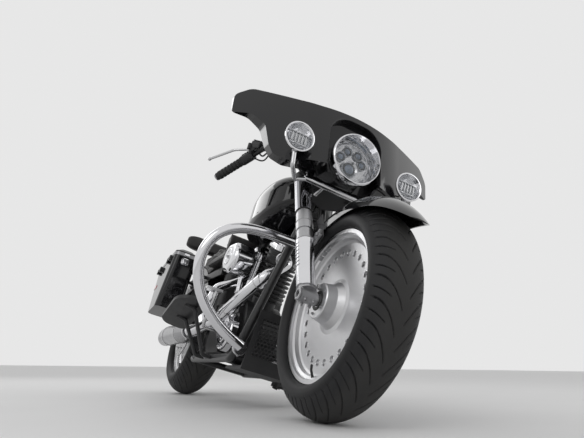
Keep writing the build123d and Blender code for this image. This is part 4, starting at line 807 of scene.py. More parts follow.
class CRUISER_OT_bar_trim(bpy.types.Operator):
    """Add switches, reservoir lids, lever pivots, bar ends and the control cables"""
    bl_idname = "cruiser.bar_trim"
    bl_label = "Bar trim and cables"

    def execute(self, context):
        look = context.scene.cruiser_look
        lids, screws, buttons, ends, cables = [], [], [], [], []
        for side in (-1, 1):
            c = grip_point(-0.30, side)
            along = grip_point(1, side) - grip_point(0, side)
            along /= np.linalg.norm(along)
            turn = math.radians(20)
            yaw = -side * math.radians(25)
            ux = np.array([math.cos(yaw), math.sin(yaw), 0.0])
            uy = np.array([-math.sin(yaw), math.cos(yaw), 0.0])
            ux = ux * math.cos(turn) - Z_AXIS * math.sin(turn)
            uz = np.cross(ux, uy)
            uz /= np.linalg.norm(uz)
            tank = c + [0.024, -side * 0.014, 0.046]
            lids.append(block(tank + uz * 0.0155, ux, uy, uz, (0.060, 0.042, 0.006), 0.3))
            for a, b in ((-1, -1), (-1, 1), (1, -1), (1, 1)):
                screws.append(bolt(tank + uz * 0.0180 + ux * a * 0.023 + uy * b * 0.014, uz, 0.0026, 0.002))
            buttons.append(turned(tank - ux * 0.029, -ux, mm([(0, 0), (0, 7), (1.5, 6.5), (1.8, 5), (1.0, 0)]), 24))
            screws.append(bolt(c + [0.024, side * 0.006, 0.021], Z_AXIS, 0.0036, 0.004))
            a, b, _ = frame_of(along)
            for k, (spin, size) in enumerate(((0.6, 0.010), (1.15, 0.008), (1.7, 0.008))):
                seat = grip_point(-0.10 - 0.10 * k, side)
                out = a * math.cos(spin * side + 1.2) + b * math.sin(spin + 0.9)
                out /= np.linalg.norm(out)
                buttons.append(block(seat + out * 0.0215, along, np.cross(out, along), out, (size, 0.009, 0.005), 0.4))
            for t in (-0.36, -0.22, -0.08):
                screws.append(bolt(grip_point(t, side) - Z_AXIS * 0.0205, -Z_AXIS, 0.0026, 0.002))
            ends.append(turned(grip_point(1.03, side), along,
                               mm([(-2, 0), (-2, 15), (2, 16), (6, 15), (9, 11), (10, 0)]), 40))
            r = look.cable_radius
            starts = [grip_point(-0.44, side) + [0.010, 0, 0.008], grip_point(-0.44, side) + [0.0, 0, -0.018]]
            for k, p in enumerate(starts):
                end = fork_point(0.043, side * (0.175 + 0.012 * k), 0.737)
                cables.append(tube(smooth_path([p, p + [0.050, -side * 0.035, 0.004 - 0.02 * k],
                                                [1.150, side * (0.225 - 0.012 * k), 0.985 - 0.016 * k],
                                                [1.225, side * (0.195 - 0.008 * k), 0.990 - 0.012 * k],
                                                end - FORK_X * 0.03, end], 10), r, 10))
            hose_start = tank - ux * 0.020 - uz * 0.012 - uy * side * 0.018
            cables.append(tube(smooth_path([hose_start, hose_start + [-0.004, -side * 0.030, -0.014],
                                            [1.062, side * 0.200, 0.996], [1.105, side * 0.135, 0.985],
                                            fork_point(-0.018, side * 0.100, 0.790),
                                            fork_point(-0.022, side * 0.094, 0.690)], 10), r * 1.15, 10))
        piece("reservoir_lids", lids, "steering", "gloss_plastic", "gloss_plastic")
        piece("bar_screws", screws, "steering", "steel", "steel")
        piece("bar_switches", buttons, "steering", "rubber", "rubber")
        piece("bar_ends", ends, "steering", "chrome", "dark_chrome")
        piece("control_cables", cables, "steering", "rubber", "hose")
        return {"FINISHED"}


# Fairing

def skin_x(y, z):
    """The fairing's skin: two plan arcs joined at the shoulder, x = arc(|y|) + 0.30 (0.95 - z)."""
    y = np.abs(np.asarray(y, float))

    def arc(p0, p1, p2, at):
        (x0, y0), (x1, y1), (x2, y2) = p0, p1, p2
        m = np.array([[x1 - x0, y1 - y0], [x2 - x0, y2 - y0]]) * 2
        cx, cy = np.linalg.solve(m, [x1 * x1 + y1 * y1 - x0 * x0 - y0 * y0, x2 * x2 + y2 * y2 - x0 * x0 - y0 * y0])
        r = math.hypot(x0 - cx, y0 - cy)
        root = np.sqrt(np.maximum(r * r - (at - cy) ** 2, 0))
        near = cx + root
        far = cx - root
        return np.where(abs(cx + math.sqrt(max(r * r - (y1 - cy) ** 2, 0)) - x1) < 1e-6, near, far)

    front = arc((1.412, -0.222), (1.470, 0.0), (1.412, 0.222), y)
    flank = arc((1.412, 0.222), (1.356, 0.330), (1.288, 0.450), y)
    return np.where(y < 0.222, front, flank) + 0.30 * (0.95 - np.asarray(z, float))


class CRUISER_OT_fairing_trim(bpy.types.Operator):
    """Add the hood's edge bead, the dash gauges and speakers, and the fog lamps' wires"""
    bl_idname = "cruiser.fairing_trim"
    bl_label = "Fairing trim"

    def execute(self, context):
        t = np.linspace(0, np.pi / 2, 12)
        half, foot, top, corner = 0.1112, 0.834, 1.0622, 0.083
        across, rise = half - corner + corner * np.cos(t), top - corner + corner * np.sin(t)
        ys = np.concatenate([np.full(18, half), across, np.linspace(half - corner, -half + corner, 14)[1:-1],
                             -across[::-1], np.full(18, -half)])
        zs = np.concatenate([np.linspace(foot, top - corner, 18), rise, np.full(12, top), rise[::-1],
                             np.linspace(top - corner, foot, 18)])
        path = np.stack([skin_x(ys, zs) - 0.0008, ys, zs], -1)
        mesh_object("hood_bead", *tube(path, 0.0026, 10), "steering", "gloss_plastic", "gloss_plastic")
        rims, faces, marks, cones = [], [], [], []
        dash = 0.0436
        for y, s, r in ((-0.128, 0.772, 0.040), (0.128, 0.772, 0.040), (-0.222, 0.800, 0.026), (0.222, 0.800, 0.026)):
            seat = fork_point(dash, y, s)
            rims.append(turned(seat, -FORK_X, [(0, r * 0.86), (0, r), (0.007, r), (0.010, r * 0.95), (0.008, r * 0.88),
                                               (0.004, r * 0.86)], 56))
            faces.append(turned(seat, -FORK_X, [(0, 0), (0, r * 0.87), (0.0035, r * 0.87), (0.0035, 0)], 48))
            for k in range(11):
                a = math.radians(-135 + 27 * k)
                d = Y_AXIS * math.sin(a) + FORK_Z * math.cos(a)
                marks.append(block(seat - FORK_X * 0.0036 + d * r * 0.72, d, np.cross(d, FORK_X), FORK_X,
                                   (r * 0.16, 0.0012, 0.0006), 0.3))
            d = Y_AXIS * math.sin(-2.1) + FORK_Z * math.cos(-2.1)
            marks.append(block(seat - FORK_X * 0.0044 + d * r * 0.28, d, np.cross(d, FORK_X), FORK_X,
                               (r * 0.62, 0.0016, 0.0008), 0.3))
            rims.append(turned(seat, -FORK_X, [(0.003, 0), (0.003, 0.0042), (0.0058, 0.0036), (0.0060, 0)], 20))
        r = 0.044
        for y in (-0.318, 0.318):
            seat = fork_point(dash, y, 0.792)
            rims.append(turned(seat, -FORK_X, [(0, r * 0.9), (0, r), (0.004, r), (0.005, r * 0.94),
                                               (0.003, r * 0.9)], 56))
            cones += [turned(seat, -FORK_X, [(0.0, q * r), (0.0, q * r + 0.0016), (0.0024, q * r + 0.0014),
                                             (0.0024, q * r)], 40) for q in (0.12, 0.26, 0.40, 0.54, 0.68, 0.82)]
            cones += [block(seat - FORK_X * 0.0010, Y_AXIS * math.cos(a) + FORK_Z * math.sin(a), FORK_X,
                            FORK_Z * math.cos(a) - Y_AXIS * math.sin(a), (r * 1.76, 0.002, 0.0018), 0.3)
                      for a in np.linspace(0, np.pi, 6, endpoint=False)]
        piece("gauge_rims", rims, "steering", "chrome", "chrome")
        piece("gauge_faces", faces, "steering", "gloss_plastic", "gloss_plastic")
        piece("gauge_marks", marks, "steering", "lens", "lamp_white")
        piece("speaker_grilles", cones, "steering", "black_plastic", "plastic")
        wires = []
        for side in (-1, 1):
            wires.append(tube(smooth_path([[1.462, side * 0.226, 0.868], [1.440, side * 0.216, 0.842],
                                           [1.424, side * 0.185, 0.800], [1.406, side * 0.130, 0.786],
                                           [1.345, side * 0.085, 0.796]], 10), 0.0026, 8))
        piece("fog_wires", wires, "steering", "rubber", "hose")
        return {"FINISHED"}


# Engine, exhaust and tank

CRANK = np.array([0.870, 0.0, 0.300])
VEE = math.radians(22.5)
TANK_RINGS = np.array([
    # x, half width, bottom z, top z, top radius, bottom radius, from the rear
    (0.636, 0.052, 0.736, 0.808, 0.032, 0.016), (0.7001, 0.092, 0.716, 0.858, 0.062, 0.026),
    (0.830, 0.138, 0.706, 0.916, 0.092, 0.038), (0.9847, 0.154, 0.712, 0.940, 0.106, 0.040),
    (1.1098, 0.124, 0.752, 0.922, 0.076, 0.030), (1.166, 0.062, 0.800, 0.872, 0.030, 0.018)])


def on_cylinder(tilt, r, ahead=0.0, y=0.0):
    """Point on a barrel's axis: c + r (sin t, 0, cos t) + ahead (cos t, 0, -sin t)."""
    up = np.array([math.sin(tilt), 0.0, math.cos(tilt)])
    fore = np.array([math.cos(tilt), 0.0, -math.sin(tilt)])
    return CRANK + up * r + fore * ahead + Y_AXIS * y


class CRUISER_OT_engine_trim(bpy.types.Operator):
    """Add bolts, pushrod collars, plugs and leads, and the rings of the air cleaner and covers"""
    bl_idname = "cruiser.engine_trim"
    bl_label = "Engine trim"

    def execute(self, context):
        bolts, collars, plugs, boots, leads, bright, dark = [], [], [], [], [], [], []
        for tilt in (-VEE, VEE):
            up = on_cylinder(tilt, 1.0) - CRANK
            fore = on_cylinder(tilt, 0.0, 1.0) - CRANK
            end = 1 if tilt > 0 else -1
            for a in (-1, 1):
                for b in (-1, 1):
                    bolts.append(bolt(on_cylinder(tilt, 0.4002, a * 0.044, b * 0.030), up, 0.0042, 0.006))
                    bolts.append(bolt(on_cylinder(tilt, 0.3802, a * 0.062, b * 0.0525), up, 0.0032, 0.005))
            dark.append(block(on_cylinder(tilt, 0.3804), fore, Y_AXIS, up, (0.1285, 0.0965, 0.0016), 0.5))
            seat = on_cylinder(tilt, 0.332, 0.0, 0.060)
            plugs.append(turned(seat, Y_AXIS, mm([(0, 0), (0, 9), (6, 9), (7, 6.5), (14, 6), (14, 0)]), 6))
            boots.append(turned(seat + Y_AXIS * 0.011, Y_AXIS, mm([(0, 6.2), (0, 8.4), (10, 8.6), (26, 7.4), (33, 5.2),
                                                                   (34, 0), (2, 0), (2, 6.2)]), 24))
            start = seat + Y_AXIS * 0.042
            coil = np.array([0.872 + 0.020 * end, 0.104, 0.660])
            middle = start * 0.45 + coil * 0.55 + [0, 0.046, 0.006]
            leads.append(tube(smooth_path([start, start + [0, 0.018, 0.004], middle, coil + [0, 0.018, 0.004], coil],
                                          12), 0.0036, 10))
            stub = on_cylinder(tilt, 0.330)
            way = np.array([math.cos(VEE) * end, 0.0, -math.sin(VEE)])
            flange = stub + way * 0.080 - Y_AXIS * 0.018
            collars.append(turned(flange, way, mm([(-3, 22.4), (-3, 31), (-1.5, 32.5), (2.5, 32.5), (4, 31),
                                                   (4, 22.4)]), 40))
            bolts += [bolt(flange + way * 0.0035 + Z_AXIS * s * 0.0282 * math.cos(VEE) + X_AXIS * s * 0.0108 * end,
                           way, 0.0032, 0.006) for s in (-1, 1)]
        bracket = np.array([0.872, 0.084, 0.660])
        plugs.append(box(bracket, (0.070, 0.040, 0.030), 0.25))
        for side in (-1, 1):
            for x0, x1, z1 in ((0.026, 0.088, 0.604), (0.046, 0.118, 0.588)):
                a = CRANK + [side * x0, -0.088, 0.075]
                b = CRANK + [side * x1, -0.086, z1 - 0.300]
                way = (b - a) / np.linalg.norm(b - a)
                for at, size in ((a, 0.010), (a + way * 0.070, 0.006), (b - way * 0.030, 0.012)):
                    collars.append(turned(at, way, [(0, 0.0083), (0, 0.0122), (0.0015, 0.0130), (size - 0.0015, 0.0130),
                                                    (size, 0.0122), (size, 0.0083)], 24))
            base = CRANK + [side * 0.036, -0.084, 0.0722]
            dark.append(box(base, (0.052, 0.030, 0.003), 0.3))
            bolts += [bolt(base + [dx, -0.0145, -0.012], -Y_AXIS, 0.0032, 0.005) for dx in (-0.017, 0.017)]
        face = CRANK + Y_AXIS * -0.124
        for x, z, r, first, last, count in ((0.028, -0.038, 0.0665, -110, 78, 5),
                                            (-0.058, -0.004, 0.0355, 104, 236, 3)):
            for a in np.radians(np.linspace(first, last, count)):
                bolts.append(bolt(face + [x + r * math.cos(a), 0, z + r * math.sin(a)], -Y_AXIS, 0.0036, 0.005))
        bright.append(turned(face + [0.028, 0, -0.038], -Y_AXIS,
                             mm([(-1, 34), (-1, 47), (1.2, 46), (2.4, 43), (2.4, 38), (0.8, 35)]), 72))
        bright.append(turned(face + [-0.058, 0, -0.004], -Y_AXIS,
                             mm([(-1, 0), (-1, 20), (2, 19), (3, 15), (3.4, 0)]), 48))
        face = CRANK + Y_AXIS * 0.150
        for x, z, r in ((-0.255, 0.012, 0.062), (-0.020, 0.010, 0.046)):
            centre = face + [x, 0, z]
            bright.append(turned(centre, Y_AXIS, [(-0.001, 0), (-0.001, r), (0.002, r), (0.0045, r * 0.95),
                                                  (0.005, r * 0.7), (0.0062, r * 0.3), (0.0066, 0)], 72))
            bolts += [bolt(p, Y_AXIS, 0.0034, 0.004)
                      for p in ring_of(centre + Y_AXIS * 0.0040, Y_AXIS, r * 0.84, 5, 0.3)]
        clutch_r = 0.0745
        for a in np.radians(np.linspace(0, 360, 6, endpoint=False) + 20):
            bolts.append(bolt(face + [-0.255 + clutch_r * math.cos(a), 0, 0.012 + clutch_r * math.sin(a)],
                              Y_AXIS, 0.0034, 0.005))
        face = np.array([0.930, -0.206, 0.5485])
        bright.append(turned(face, -Y_AXIS, mm([(-1, 28), (-1, 37), (1.5, 36), (2.2, 33), (1.2, 29)]), 72))
        bolts.append(bolt(face, -Y_AXIS, 0.0062, 0.006))
        bolts += [bolt(face + [dx, 0, dz], -Y_AXIS, 0.0034, 0.004) for dx, dz in ((-0.024, 0.008), (0.022, -0.012))]
        cap = np.array([0.560, -0.050, 0.566])
        bright.append(turned(cap, Z_AXIS, mm([(-1, 0), (-1, 19), (5, 19), (7, 17), (14, 15), (15, 12), (15, 0)]), 32))
        piece("engine_bolts", bolts, "chassis", "steel", "bright_alloy")
        piece("engine_collars", collars, "chassis", "chrome", "satin_chrome")
        piece("engine_rings", bright, "chassis", "chrome", "chrome")
        piece("engine_gaskets", dark, "chassis", "black_plastic", "plastic")
        piece("spark_plugs", plugs, "chassis", "steel", "steel")
        piece("plug_boots", boots, "chassis", "rubber", "rubber")
        piece("plug_leads", leads, "chassis", "rubber", "hose")
        return {"FINISHED"}


def shield(path, radius, lift, half_angle, facing, gap=0.0012, sides=14):
    """Heat shield: arc of a tube round a path, P = C + (r + gap) (N cos t + B sin t) for |t| < half angle, N towards
    facing, with a wall as thick as the lift and ends that narrow over their last 6 percent."""
    c = np.asarray(path, float)
    tangent = np.gradient(c, axis=0)
    tangent /= np.linalg.norm(tangent, axis=1)[:, None]
    f = np.asarray(facing, float)
    n = f - tangent * (tangent @ f)[:, None]
    n /= np.linalg.norm(n, axis=1)[:, None]
    b = np.cross(tangent, n)
    s = np.linspace(0, 1, len(c))
    taper = np.minimum(1.0, np.minimum(s, 1 - s) / 0.06) ** 0.5
    t = np.linspace(-1, 1, sides)[None, :] * half_angle * (0.45 + 0.55 * taper[:, None])
    rows = []
    for r, order in ((radius + gap + lift, 1), (radius + gap, -1)):
        tt = t[:, ::order]
        rows.append(c[:, None, :] + r * (n[:, None, :] * np.cos(tt)[..., None] + b[:, None, :] * np.sin(tt)[..., None]))
    p = np.concatenate(rows, axis=1)
    faces = grid_faces(len(c), sides * 2, close_cols=True)
    last = (len(c) - 1) * sides * 2
    faces.append(list(range(sides * 2))[::-1])
    faces.append([last + k for k in range(sides * 2)])
    return p.reshape(-1, 3), faces


def tank_ring(x):
    """Sizes of the tank's section at x: row = row_k (1 - t) + row_k+1 t between the two rings about x."""
    k = int(np.clip(np.searchsorted(TANK_RINGS[:, 0], x) - 1, 0, len(TANK_RINGS) - 2))
    t = (x - TANK_RINGS[k, 0]) / (TANK_RINGS[k + 1, 0] - TANK_RINGS[k, 0])
    return TANK_RINGS[k] * (1 - t) + TANK_RINGS[k + 1] * t


class CRUISER_OT_exhaust_and_tank_trim(bpy.types.Operator):
    """Add heat shields and clamps to the exhaust, a cap, gauge and bolts to the console, and seams to the tank"""
    bl_idname = "cruiser.exhaust_and_tank_trim"
    bl_label = "Exhaust and tank trim"

    def execute(self, context):
        shields, clamps, bolts = [], [], []
        front = smooth_path([[1.160, -0.108, 0.452], [1.100, -0.123, 0.415], [1.000, -0.1415, 0.3594],
                             [0.930, -0.153, 0.322]], 14)
        shields.append(shield(front, 0.022, 0.0022, math.radians(84), (0.15, -0.92, 0.35)))
        low = smooth_path([[0.736, -0.1985, 0.2507], [0.700, -0.1995, 0.250], [0.650, -0.2004, 0.250]], 10)
        shields.append(shield(low, 0.022, 0.0022, math.radians(84), (0.0, -0.94, 0.34)))
        for path in (front, low):
            for k in (6, len(path) - 7):
                way = path[k + 1] - path[k - 1]
                clamps.append(collar(path[k], way, 0.0218, 0.0262, 0.007, 40))
        clamps.append(collar([0.6185, -0.201, 0.250], X_AXIS, 0.0278, 0.0312, 0.014, 48))
        bolts.append(bolt([0.6255, -0.201, 0.2175], -Z_AXIS, 0.0036, 0.006))
        clamps.append(collar([0.505, -0.199, 0.250], X_AXIS, 0.0458, 0.0480, 0.006, 56))
        clamps.append(collar([0.215, -0.194, 0.250], X_AXIS, 0.0458, 0.0484, 0.016, 56))
        clamps.append(box([0.223, -0.160, 0.286], (0.020, 0.016, 0.022), 0.3))
        piece("exhaust_shields", shields, "chassis", "chrome", "chrome")
        piece("exhaust_clamps", clamps, "chassis", "chrome", "satin_chrome")
        inner = turned([0.206, -0.1938, 0.250], X_AXIS,
                       mm([(-60, 34), (-60, 41.4), (0, 41.6), (2, 40), (2, 36), (-2, 34)]), 64)
        mesh_object("muffler_throat", *inner, "chassis", "black_plastic", "case_coat")
        console_top = 0.9555
        cap = np.array([0.905, 0.0, console_top])
        bright = [turned(cap, Z_AXIS, mm([(0, 0), (0, 31), (1.5, 32), (3, 31), (4, 27), (9, 26), (11, 23), (11.5, 12),
                                          (11, 0)]), 72)]
        for k in range(24):
            a = 2 * math.pi * k / 24
            d = X_AXIS * math.cos(a) + Y_AXIS * math.sin(a)
            bright.append(block(cap + d * 0.0262 + Z_AXIS * 0.0065, d, np.cross(Z_AXIS, d), Z_AXIS,
                                (0.0014, 0.003, 0.0045), 0.4))
        gauge = np.array([1.002, 0.0, console_top])
        bright.append(turned(gauge, Z_AXIS, mm([(0, 22), (0, 27), (3, 27), (4.5, 25.5), (3.5, 23), (1.2, 22)]), 64))
        piece("tank_cap_and_bezel", bright, "chassis", "chrome", "chrome")
        dial = turned(gauge, Z_AXIS, mm([(0, 0), (0, 22.4), (1.6, 22.4), (1.6, 0)]), 48)
        mesh_object("fuel_gauge_face", *dial, "chassis", "gloss_plastic", "gloss_plastic")
        marks = []
        for a in np.radians(np.linspace(-60, 60, 5) + 90):
            d = np.array([math.sin(a), math.cos(a), 0.0])
            marks.append(block(gauge + d * 0.0175 + Z_AXIS * 0.0018, d, np.cross(Z_AXIS, d), Z_AXIS,
                               (0.0045, 0.0010, 0.0006), 0.3))
        d = np.array([0.5, 0.866, 0.0])
        marks.append(block(gauge + d * 0.006 + Z_AXIS * 0.0022, d, np.cross(Z_AXIS, d), Z_AXIS,
                           (0.020, 0.0012, 0.0008), 0.3))
        piece("fuel_gauge_marks", marks, "chassis", "lens", "lamp_white")
        bolts += [bolt([x, 0.0, console_top], Z_AXIS, 0.0034, 0.004) for x in (0.850, 0.958)]
        piece("exhaust_and_tank_bolts", bolts, "chassis", "steel", "bright_alloy")
        xs = np.linspace(0.665, 1.150, 60)
        rows = np.array([tank_ring(x) for x in xs])
        for side, name in ((-1, "right"), (1, "left")):
            z = rows[:, 2] + rows[:, 5] + 0.004
            path = np.stack([rows[:, 0], side * (rows[:, 1] + 0.0004), z], -1)
            mesh_object("tank_seam_" + name, *tube(path, 0.0016, 8), "chassis", "gloss_plastic", "gloss_plastic")
        return {"FINISHED"}


# Seat and backrest

def upright(points):
    """Parked points back on the upright motorcycle: the lean and the shift undone."""
    p = np.asarray(points, float) - SHIFT
    c, s = math.cos(LEAN), math.sin(LEAN)
    return np.stack([p[:, 0], p[:, 1] * c - p[:, 2] * s, p[:, 1] * s + p[:, 2] * c], -1)


def coords(mesh):
    p = np.empty(len(mesh.vertices) * 3)
    mesh.vertices.foreach_get("co", p)
    return p.reshape(-1, 3)


def set_coords(mesh, points):
    mesh.vertices.foreach_set("co", np.ascontiguousarray(points, dtype=float).ravel())
    mesh.update()


def normals(mesh):
    n = np.empty(len(mesh.vertices) * 3)
    mesh.vertex_normals.foreach_get("vector", n)
    return n.reshape(-1, 3)


def skinned(obj, voxel):
    """Even skin of small faces over an object's mesh."""
    old = obj.data
    modifier = obj.modifiers.new("Skin", "REMESH")
    modifier.mode = "VOXEL"
    modifier.voxel_size = voxel
    depsgraph = bpy.context.evaluated_depsgraph_get()
    skin = bpy.data.meshes.new_from_object(obj.evaluated_get(depsgraph))
    obj.modifiers.clear()
    obj.data = skin
    bpy.data.meshes.remove(old)


def kept_inside(obj, low, high):
    """Clamp an object's upright points between two corners."""
    set_coords(obj.data, parked(np.clip(upright(coords(obj.data)), low, high)))


def puffed(obj, pressure, swell, pins):
    """Swell a cushion as cloth under pressure, held where pins says, each point kept within a swell of its start."""
    skin = obj.data
    start = coords(skin)
    fixed = np.nonzero(pins(upright(start)))[0]
    hold = obj.vertex_groups.new(name="Base")
    hold.add(fixed.tolist(), 1.0, "REPLACE")
    cloth = obj.modifiers.new("Cover", "CLOTH")
    settings = cloth.settings
    settings.quality = 4
    settings.mass = 0.4
    settings.tension_stiffness = 22.0
    settings.compression_stiffness = 12.0
    settings.bending_stiffness = 1.2
    settings.use_pressure = True
    settings.uniform_pressure_force = pressure
    settings.effector_weights.gravity = 0.0
    settings.vertex_group_mass = "Base"
    scene = bpy.context.scene
    for number in range(1, 21):
        scene.frame_set(number)
    depsgraph = bpy.context.evaluated_depsgraph_get()
    end = coords(obj.evaluated_get(depsgraph).data)
    obj.modifiers.clear()
    obj.vertex_groups.clear()
    scene.frame_set(1)
    move = np.nan_to_num(end - start) if len(end) == len(start) else np.zeros_like(start)
    far = np.linalg.norm(move, axis=1, keepdims=True)
    set_coords(skin, start + move * np.minimum(1.0, swell / np.maximum(far, 1e-9)))


def channel(obj, places, width, depth):
    """Sewn channels across the top: each lowers it by depth exp(-((x - place) / width)^2) where it faces up."""
    mesh = obj.data
    p = coords(mesh)
    up = upright(p)
    n = normals(mesh)
    facing = np.clip((n[:, 1] * math.sin(LEAN) + n[:, 2] * math.cos(LEAN) - 0.35) / 0.4, 0, 1)
    dip = sum(np.exp(-((up[:, 0] - x) / width) ** 2) for x in places)
    set_coords(mesh, p - n * (depth * dip * facing)[:, None])


def finish_cushion(obj):
    obj.data.shade_smooth()
    modifier = obj.modifiers.new("Smooth", "SUBSURF")
    modifier.levels = modifier.render_levels = 1


def touched(obj, starts, ways):
    """Upright points where rays from starts along ways first meet an object's mesh."""
    mesh = obj.data
    faces = [tuple(face.vertices) for face in mesh.polygons]
    tree = BVHTree.FromPolygons([tuple(v) for v in upright(coords(mesh))], faces)
    ways = np.broadcast_to(ways, np.shape(starts))
    hits = [tree.ray_cast(tuple(a), tuple(d))[0] for a, d in zip(starts, ways)]
    return np.array([list(h) for h in hits if h is not None])


def from_node(name, node, body, finish):
    """A piece whose mesh is a copy of a CAD node's."""
    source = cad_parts[node]
    mesh = source.data.copy()
    mesh.materials.clear()
    work = bmesh.new()
    work.from_mesh(mesh)
    bmesh.ops.remove_doubles(work, verts=work.verts, dist=1e-6)
    work.to_mesh(mesh)
    work.free()
    obj = bpy.data.objects.new(name, mesh)
    bpy.context.scene.collection.objects.link(obj)
    mesh.materials.append(FINISHES[finish])
    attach(obj, body)
    return obj


def shrunk(obj, depth, pins):
    """Move free points in along their normals, so that the swelling cover ends near the solid's own surface."""
    p = coords(obj.data)
    free = ~pins(upright(p))
    set_coords(obj.data, p - normals(obj.data) * depth * free[:, None])


def seat_base(p):
    """Where the seat rests or butts: its underside over the fender, the spine, the struts and the tank."""
    x, y, z = p.T
    fender_r, margin = 0.352, 0.014
    over_fender = np.hypot(x, z - REAR_AXLE_Z) < fender_r + margin
    floor, by_tank = z < 0.652, x > 0.596
    over_spine = (np.abs(y) < 0.034) & (z < 0.668)
    return over_fender | floor | by_tank | over_spine


class CRUISER_OT_seat(bpy.types.Operator):
    """Replace the seat and the backrest by simulated leather covers with seams, and a chrome hoop"""
    bl_idname = "cruiser.seat"
    bl_label = "Seat and backrest"

    def execute(self, context):
        look = context.scene.cruiser_look
        seat = from_node("seat_cover", "seat", "chassis", "leather")
        skinned(seat, 0.006)
        shrunk(seat, 0.007, seat_base)
        puffed(seat, 4.0, look.seat_swell, seat_base)
        channel(seat, (0.150, 0.215, 0.385, 0.450, 0.515), 0.0042, 0.0050)
        finish_cushion(seat)
        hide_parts("seat")
        welts = []
        for x0, x1, y, z in ((0.050, 0.300, 0.098, 0.735), (0.362, 0.600, 0.136, 0.684)):
            for side in (-1, 1):
                xs = np.linspace(x0, x1, 26)
                start = np.stack([xs, np.full(26, side * (y + 0.10)), np.full(26, z + 0.10)], -1)
                line = touched(seat, start, np.array([0.0, -side, -1.0]))
                if len(line) > 8:
                    welts.append(tube(smooth_path(line, 3), 0.0021, 8))
        if welts:
            piece("seat_welts", welts, "chassis", "leather", "leather")

        pad_mesh = box([-0.044, 0.0, 0.823], (0.050, 0.458, 0.084), 0.30)
        pad = mesh_object("backrest_pad", *pad_mesh, "chassis", "leather", "leather")
        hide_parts("backrest")
        skinned(pad, 0.005)
        puffed(pad, 4.0, 0.006, lambda p: np.zeros(len(p), bool))
        kept_inside(pad, (-0.0738, -0.2348, 0.7762), (-0.0142, 0.2348, 0.8698))
        finish_cushion(pad)
        t = np.linspace(0, 2 * np.pi, 120, endpoint=False)
        ring = np.stack([np.zeros(120), np.cos(t) * 0.224, np.sin(t) * 0.034], -1)
        out = np.stack([np.zeros(120), np.sign(np.cos(t)) * np.abs(np.cos(t)) ** 0.35 * 0.30,
                        np.sign(np.sin(t)) * np.abs(np.sin(t)) ** 0.35 * 0.10], -1)
        for x in (-0.061, -0.027):
            middle = np.array([x, 0.0, 0.823])
            line = touched(pad, middle + out * 1.2, ring * 0.2 - out)
            if len(line) > 60:
                seam = np.concatenate([line, line[:2]])
                mesh_object("pad_seam_" + ("rear" if x < -0.04 else "front"), *tube(seam, 0.0018, 8, round_ends=False),
                            "chassis", "leather", "leather")
        fender_half, strut, seated, hoop_r = 0.104, 0.009, 0.0003, 0.007
        y = fender_half + seated + strut + seated + hoop_r
        bend = np.linspace(0, np.pi / 2, 9)
        foot_x, foot_z, top_x, top_z, corner = -0.056, 0.562, -0.048, 0.836, 0.04
        lean = (top_x - foot_x) / (top_z - foot_z)
        right = np.stack([np.full(9, top_x), -y + corner * (1 - np.cos(bend)), top_z - corner * (1 - np.sin(bend))], -1)
        legs = np.linspace(foot_z, 0.790, 12)
        leg = np.stack([foot_x + (legs - foot_z) * lean, np.full(12, -y), legs], -1)
        half = np.concatenate([leg, right])
        hoop = np.concatenate([half, half[::-1] * [1, -1, 1]])
        mesh_object("backrest_hoop", *tube(hoop, hoop_r, 20), "chassis", "chrome", "chrome")
        bolts = [bolt([x, side * (y + 0.0062), z], Y_AXIS * side, 0.0045, 0.005)
                 for side in (-1, 1) for x, z in ((-0.0555, 0.575), (-0.0545, 0.605))]
        piece("hoop_bolts", bolts, "chassis", "steel", "bright_alloy")
        return {"FINISHED"}


# Saddlebags, floorboards, guard, chin and tail

BAG_TILT = math.radians(9.5)
BOARD_PITCH = math.radians(20.0)


def hung(points):
    """Bag frame to upright: turned down to the rear by the bag's tilt and moved to the seam's front end."""
    p = np.asarray(points, float)
    c, s = math.cos(BAG_TILT), math.sin(BAG_TILT)
    return np.stack([0.300 + p[..., 0] * c - p[..., 2] * s, p[..., 1], 0.640 + p[..., 0] * s + p[..., 2] * c], -1)


def rounded_outline(x0, x1, y0, y1, r, count=8):
    """Counter-clockwise rounded rectangle with quarter circles of count steps."""
    q = np.linspace(0, np.pi / 2, count)
    corners = []
    for cx, cy, turn in ((x1 - r, y1 - r, 0), (x0 + r, y1 - r, 1), (x0 + r, y0 + r, 2), (x1 - r, y0 + r, 3)):
        a = q + turn * np.pi / 2
        corners.append(np.stack([cx + r * np.cos(a), cy + r * np.sin(a)], -1))
    return np.concatenate(corners)


def band(outline, z0, z1, out):
    """Strip from z0 to z1 along an open outline, standing out from it, with its edges softened."""
    p = np.asarray(outline, float)
    way = np.gradient(p, axis=0)
    way /= np.linalg.norm(way, axis=1)[:, None]
    normal = np.stack([way[:, 1], -way[:, 0]], -1)
    e = (z1 - z0) * 0.15
    profile = [(-0.0012, z0), (out * 0.6, z0), (out, z0 + e), (out, z1 - e), (out * 0.6, z1), (-0.0012, z1)]
    rows = [np.concatenate([p + normal * o, np.full((len(p), 1), z)], axis=1) for o, z in profile]
    grid = np.stack(rows, axis=1)
    faces = grid_faces(len(p), len(profile), close_cols=True)
    last = (len(p) - 1) * len(profile)
    faces.append(list(range(len(profile)))[::-1])
    faces.append([last + k for k in range(len(profile))])
    return grid.reshape(-1, 3), faces


def flip_y(points, side):
    return np.asarray(points, float) * [1, side, 1]


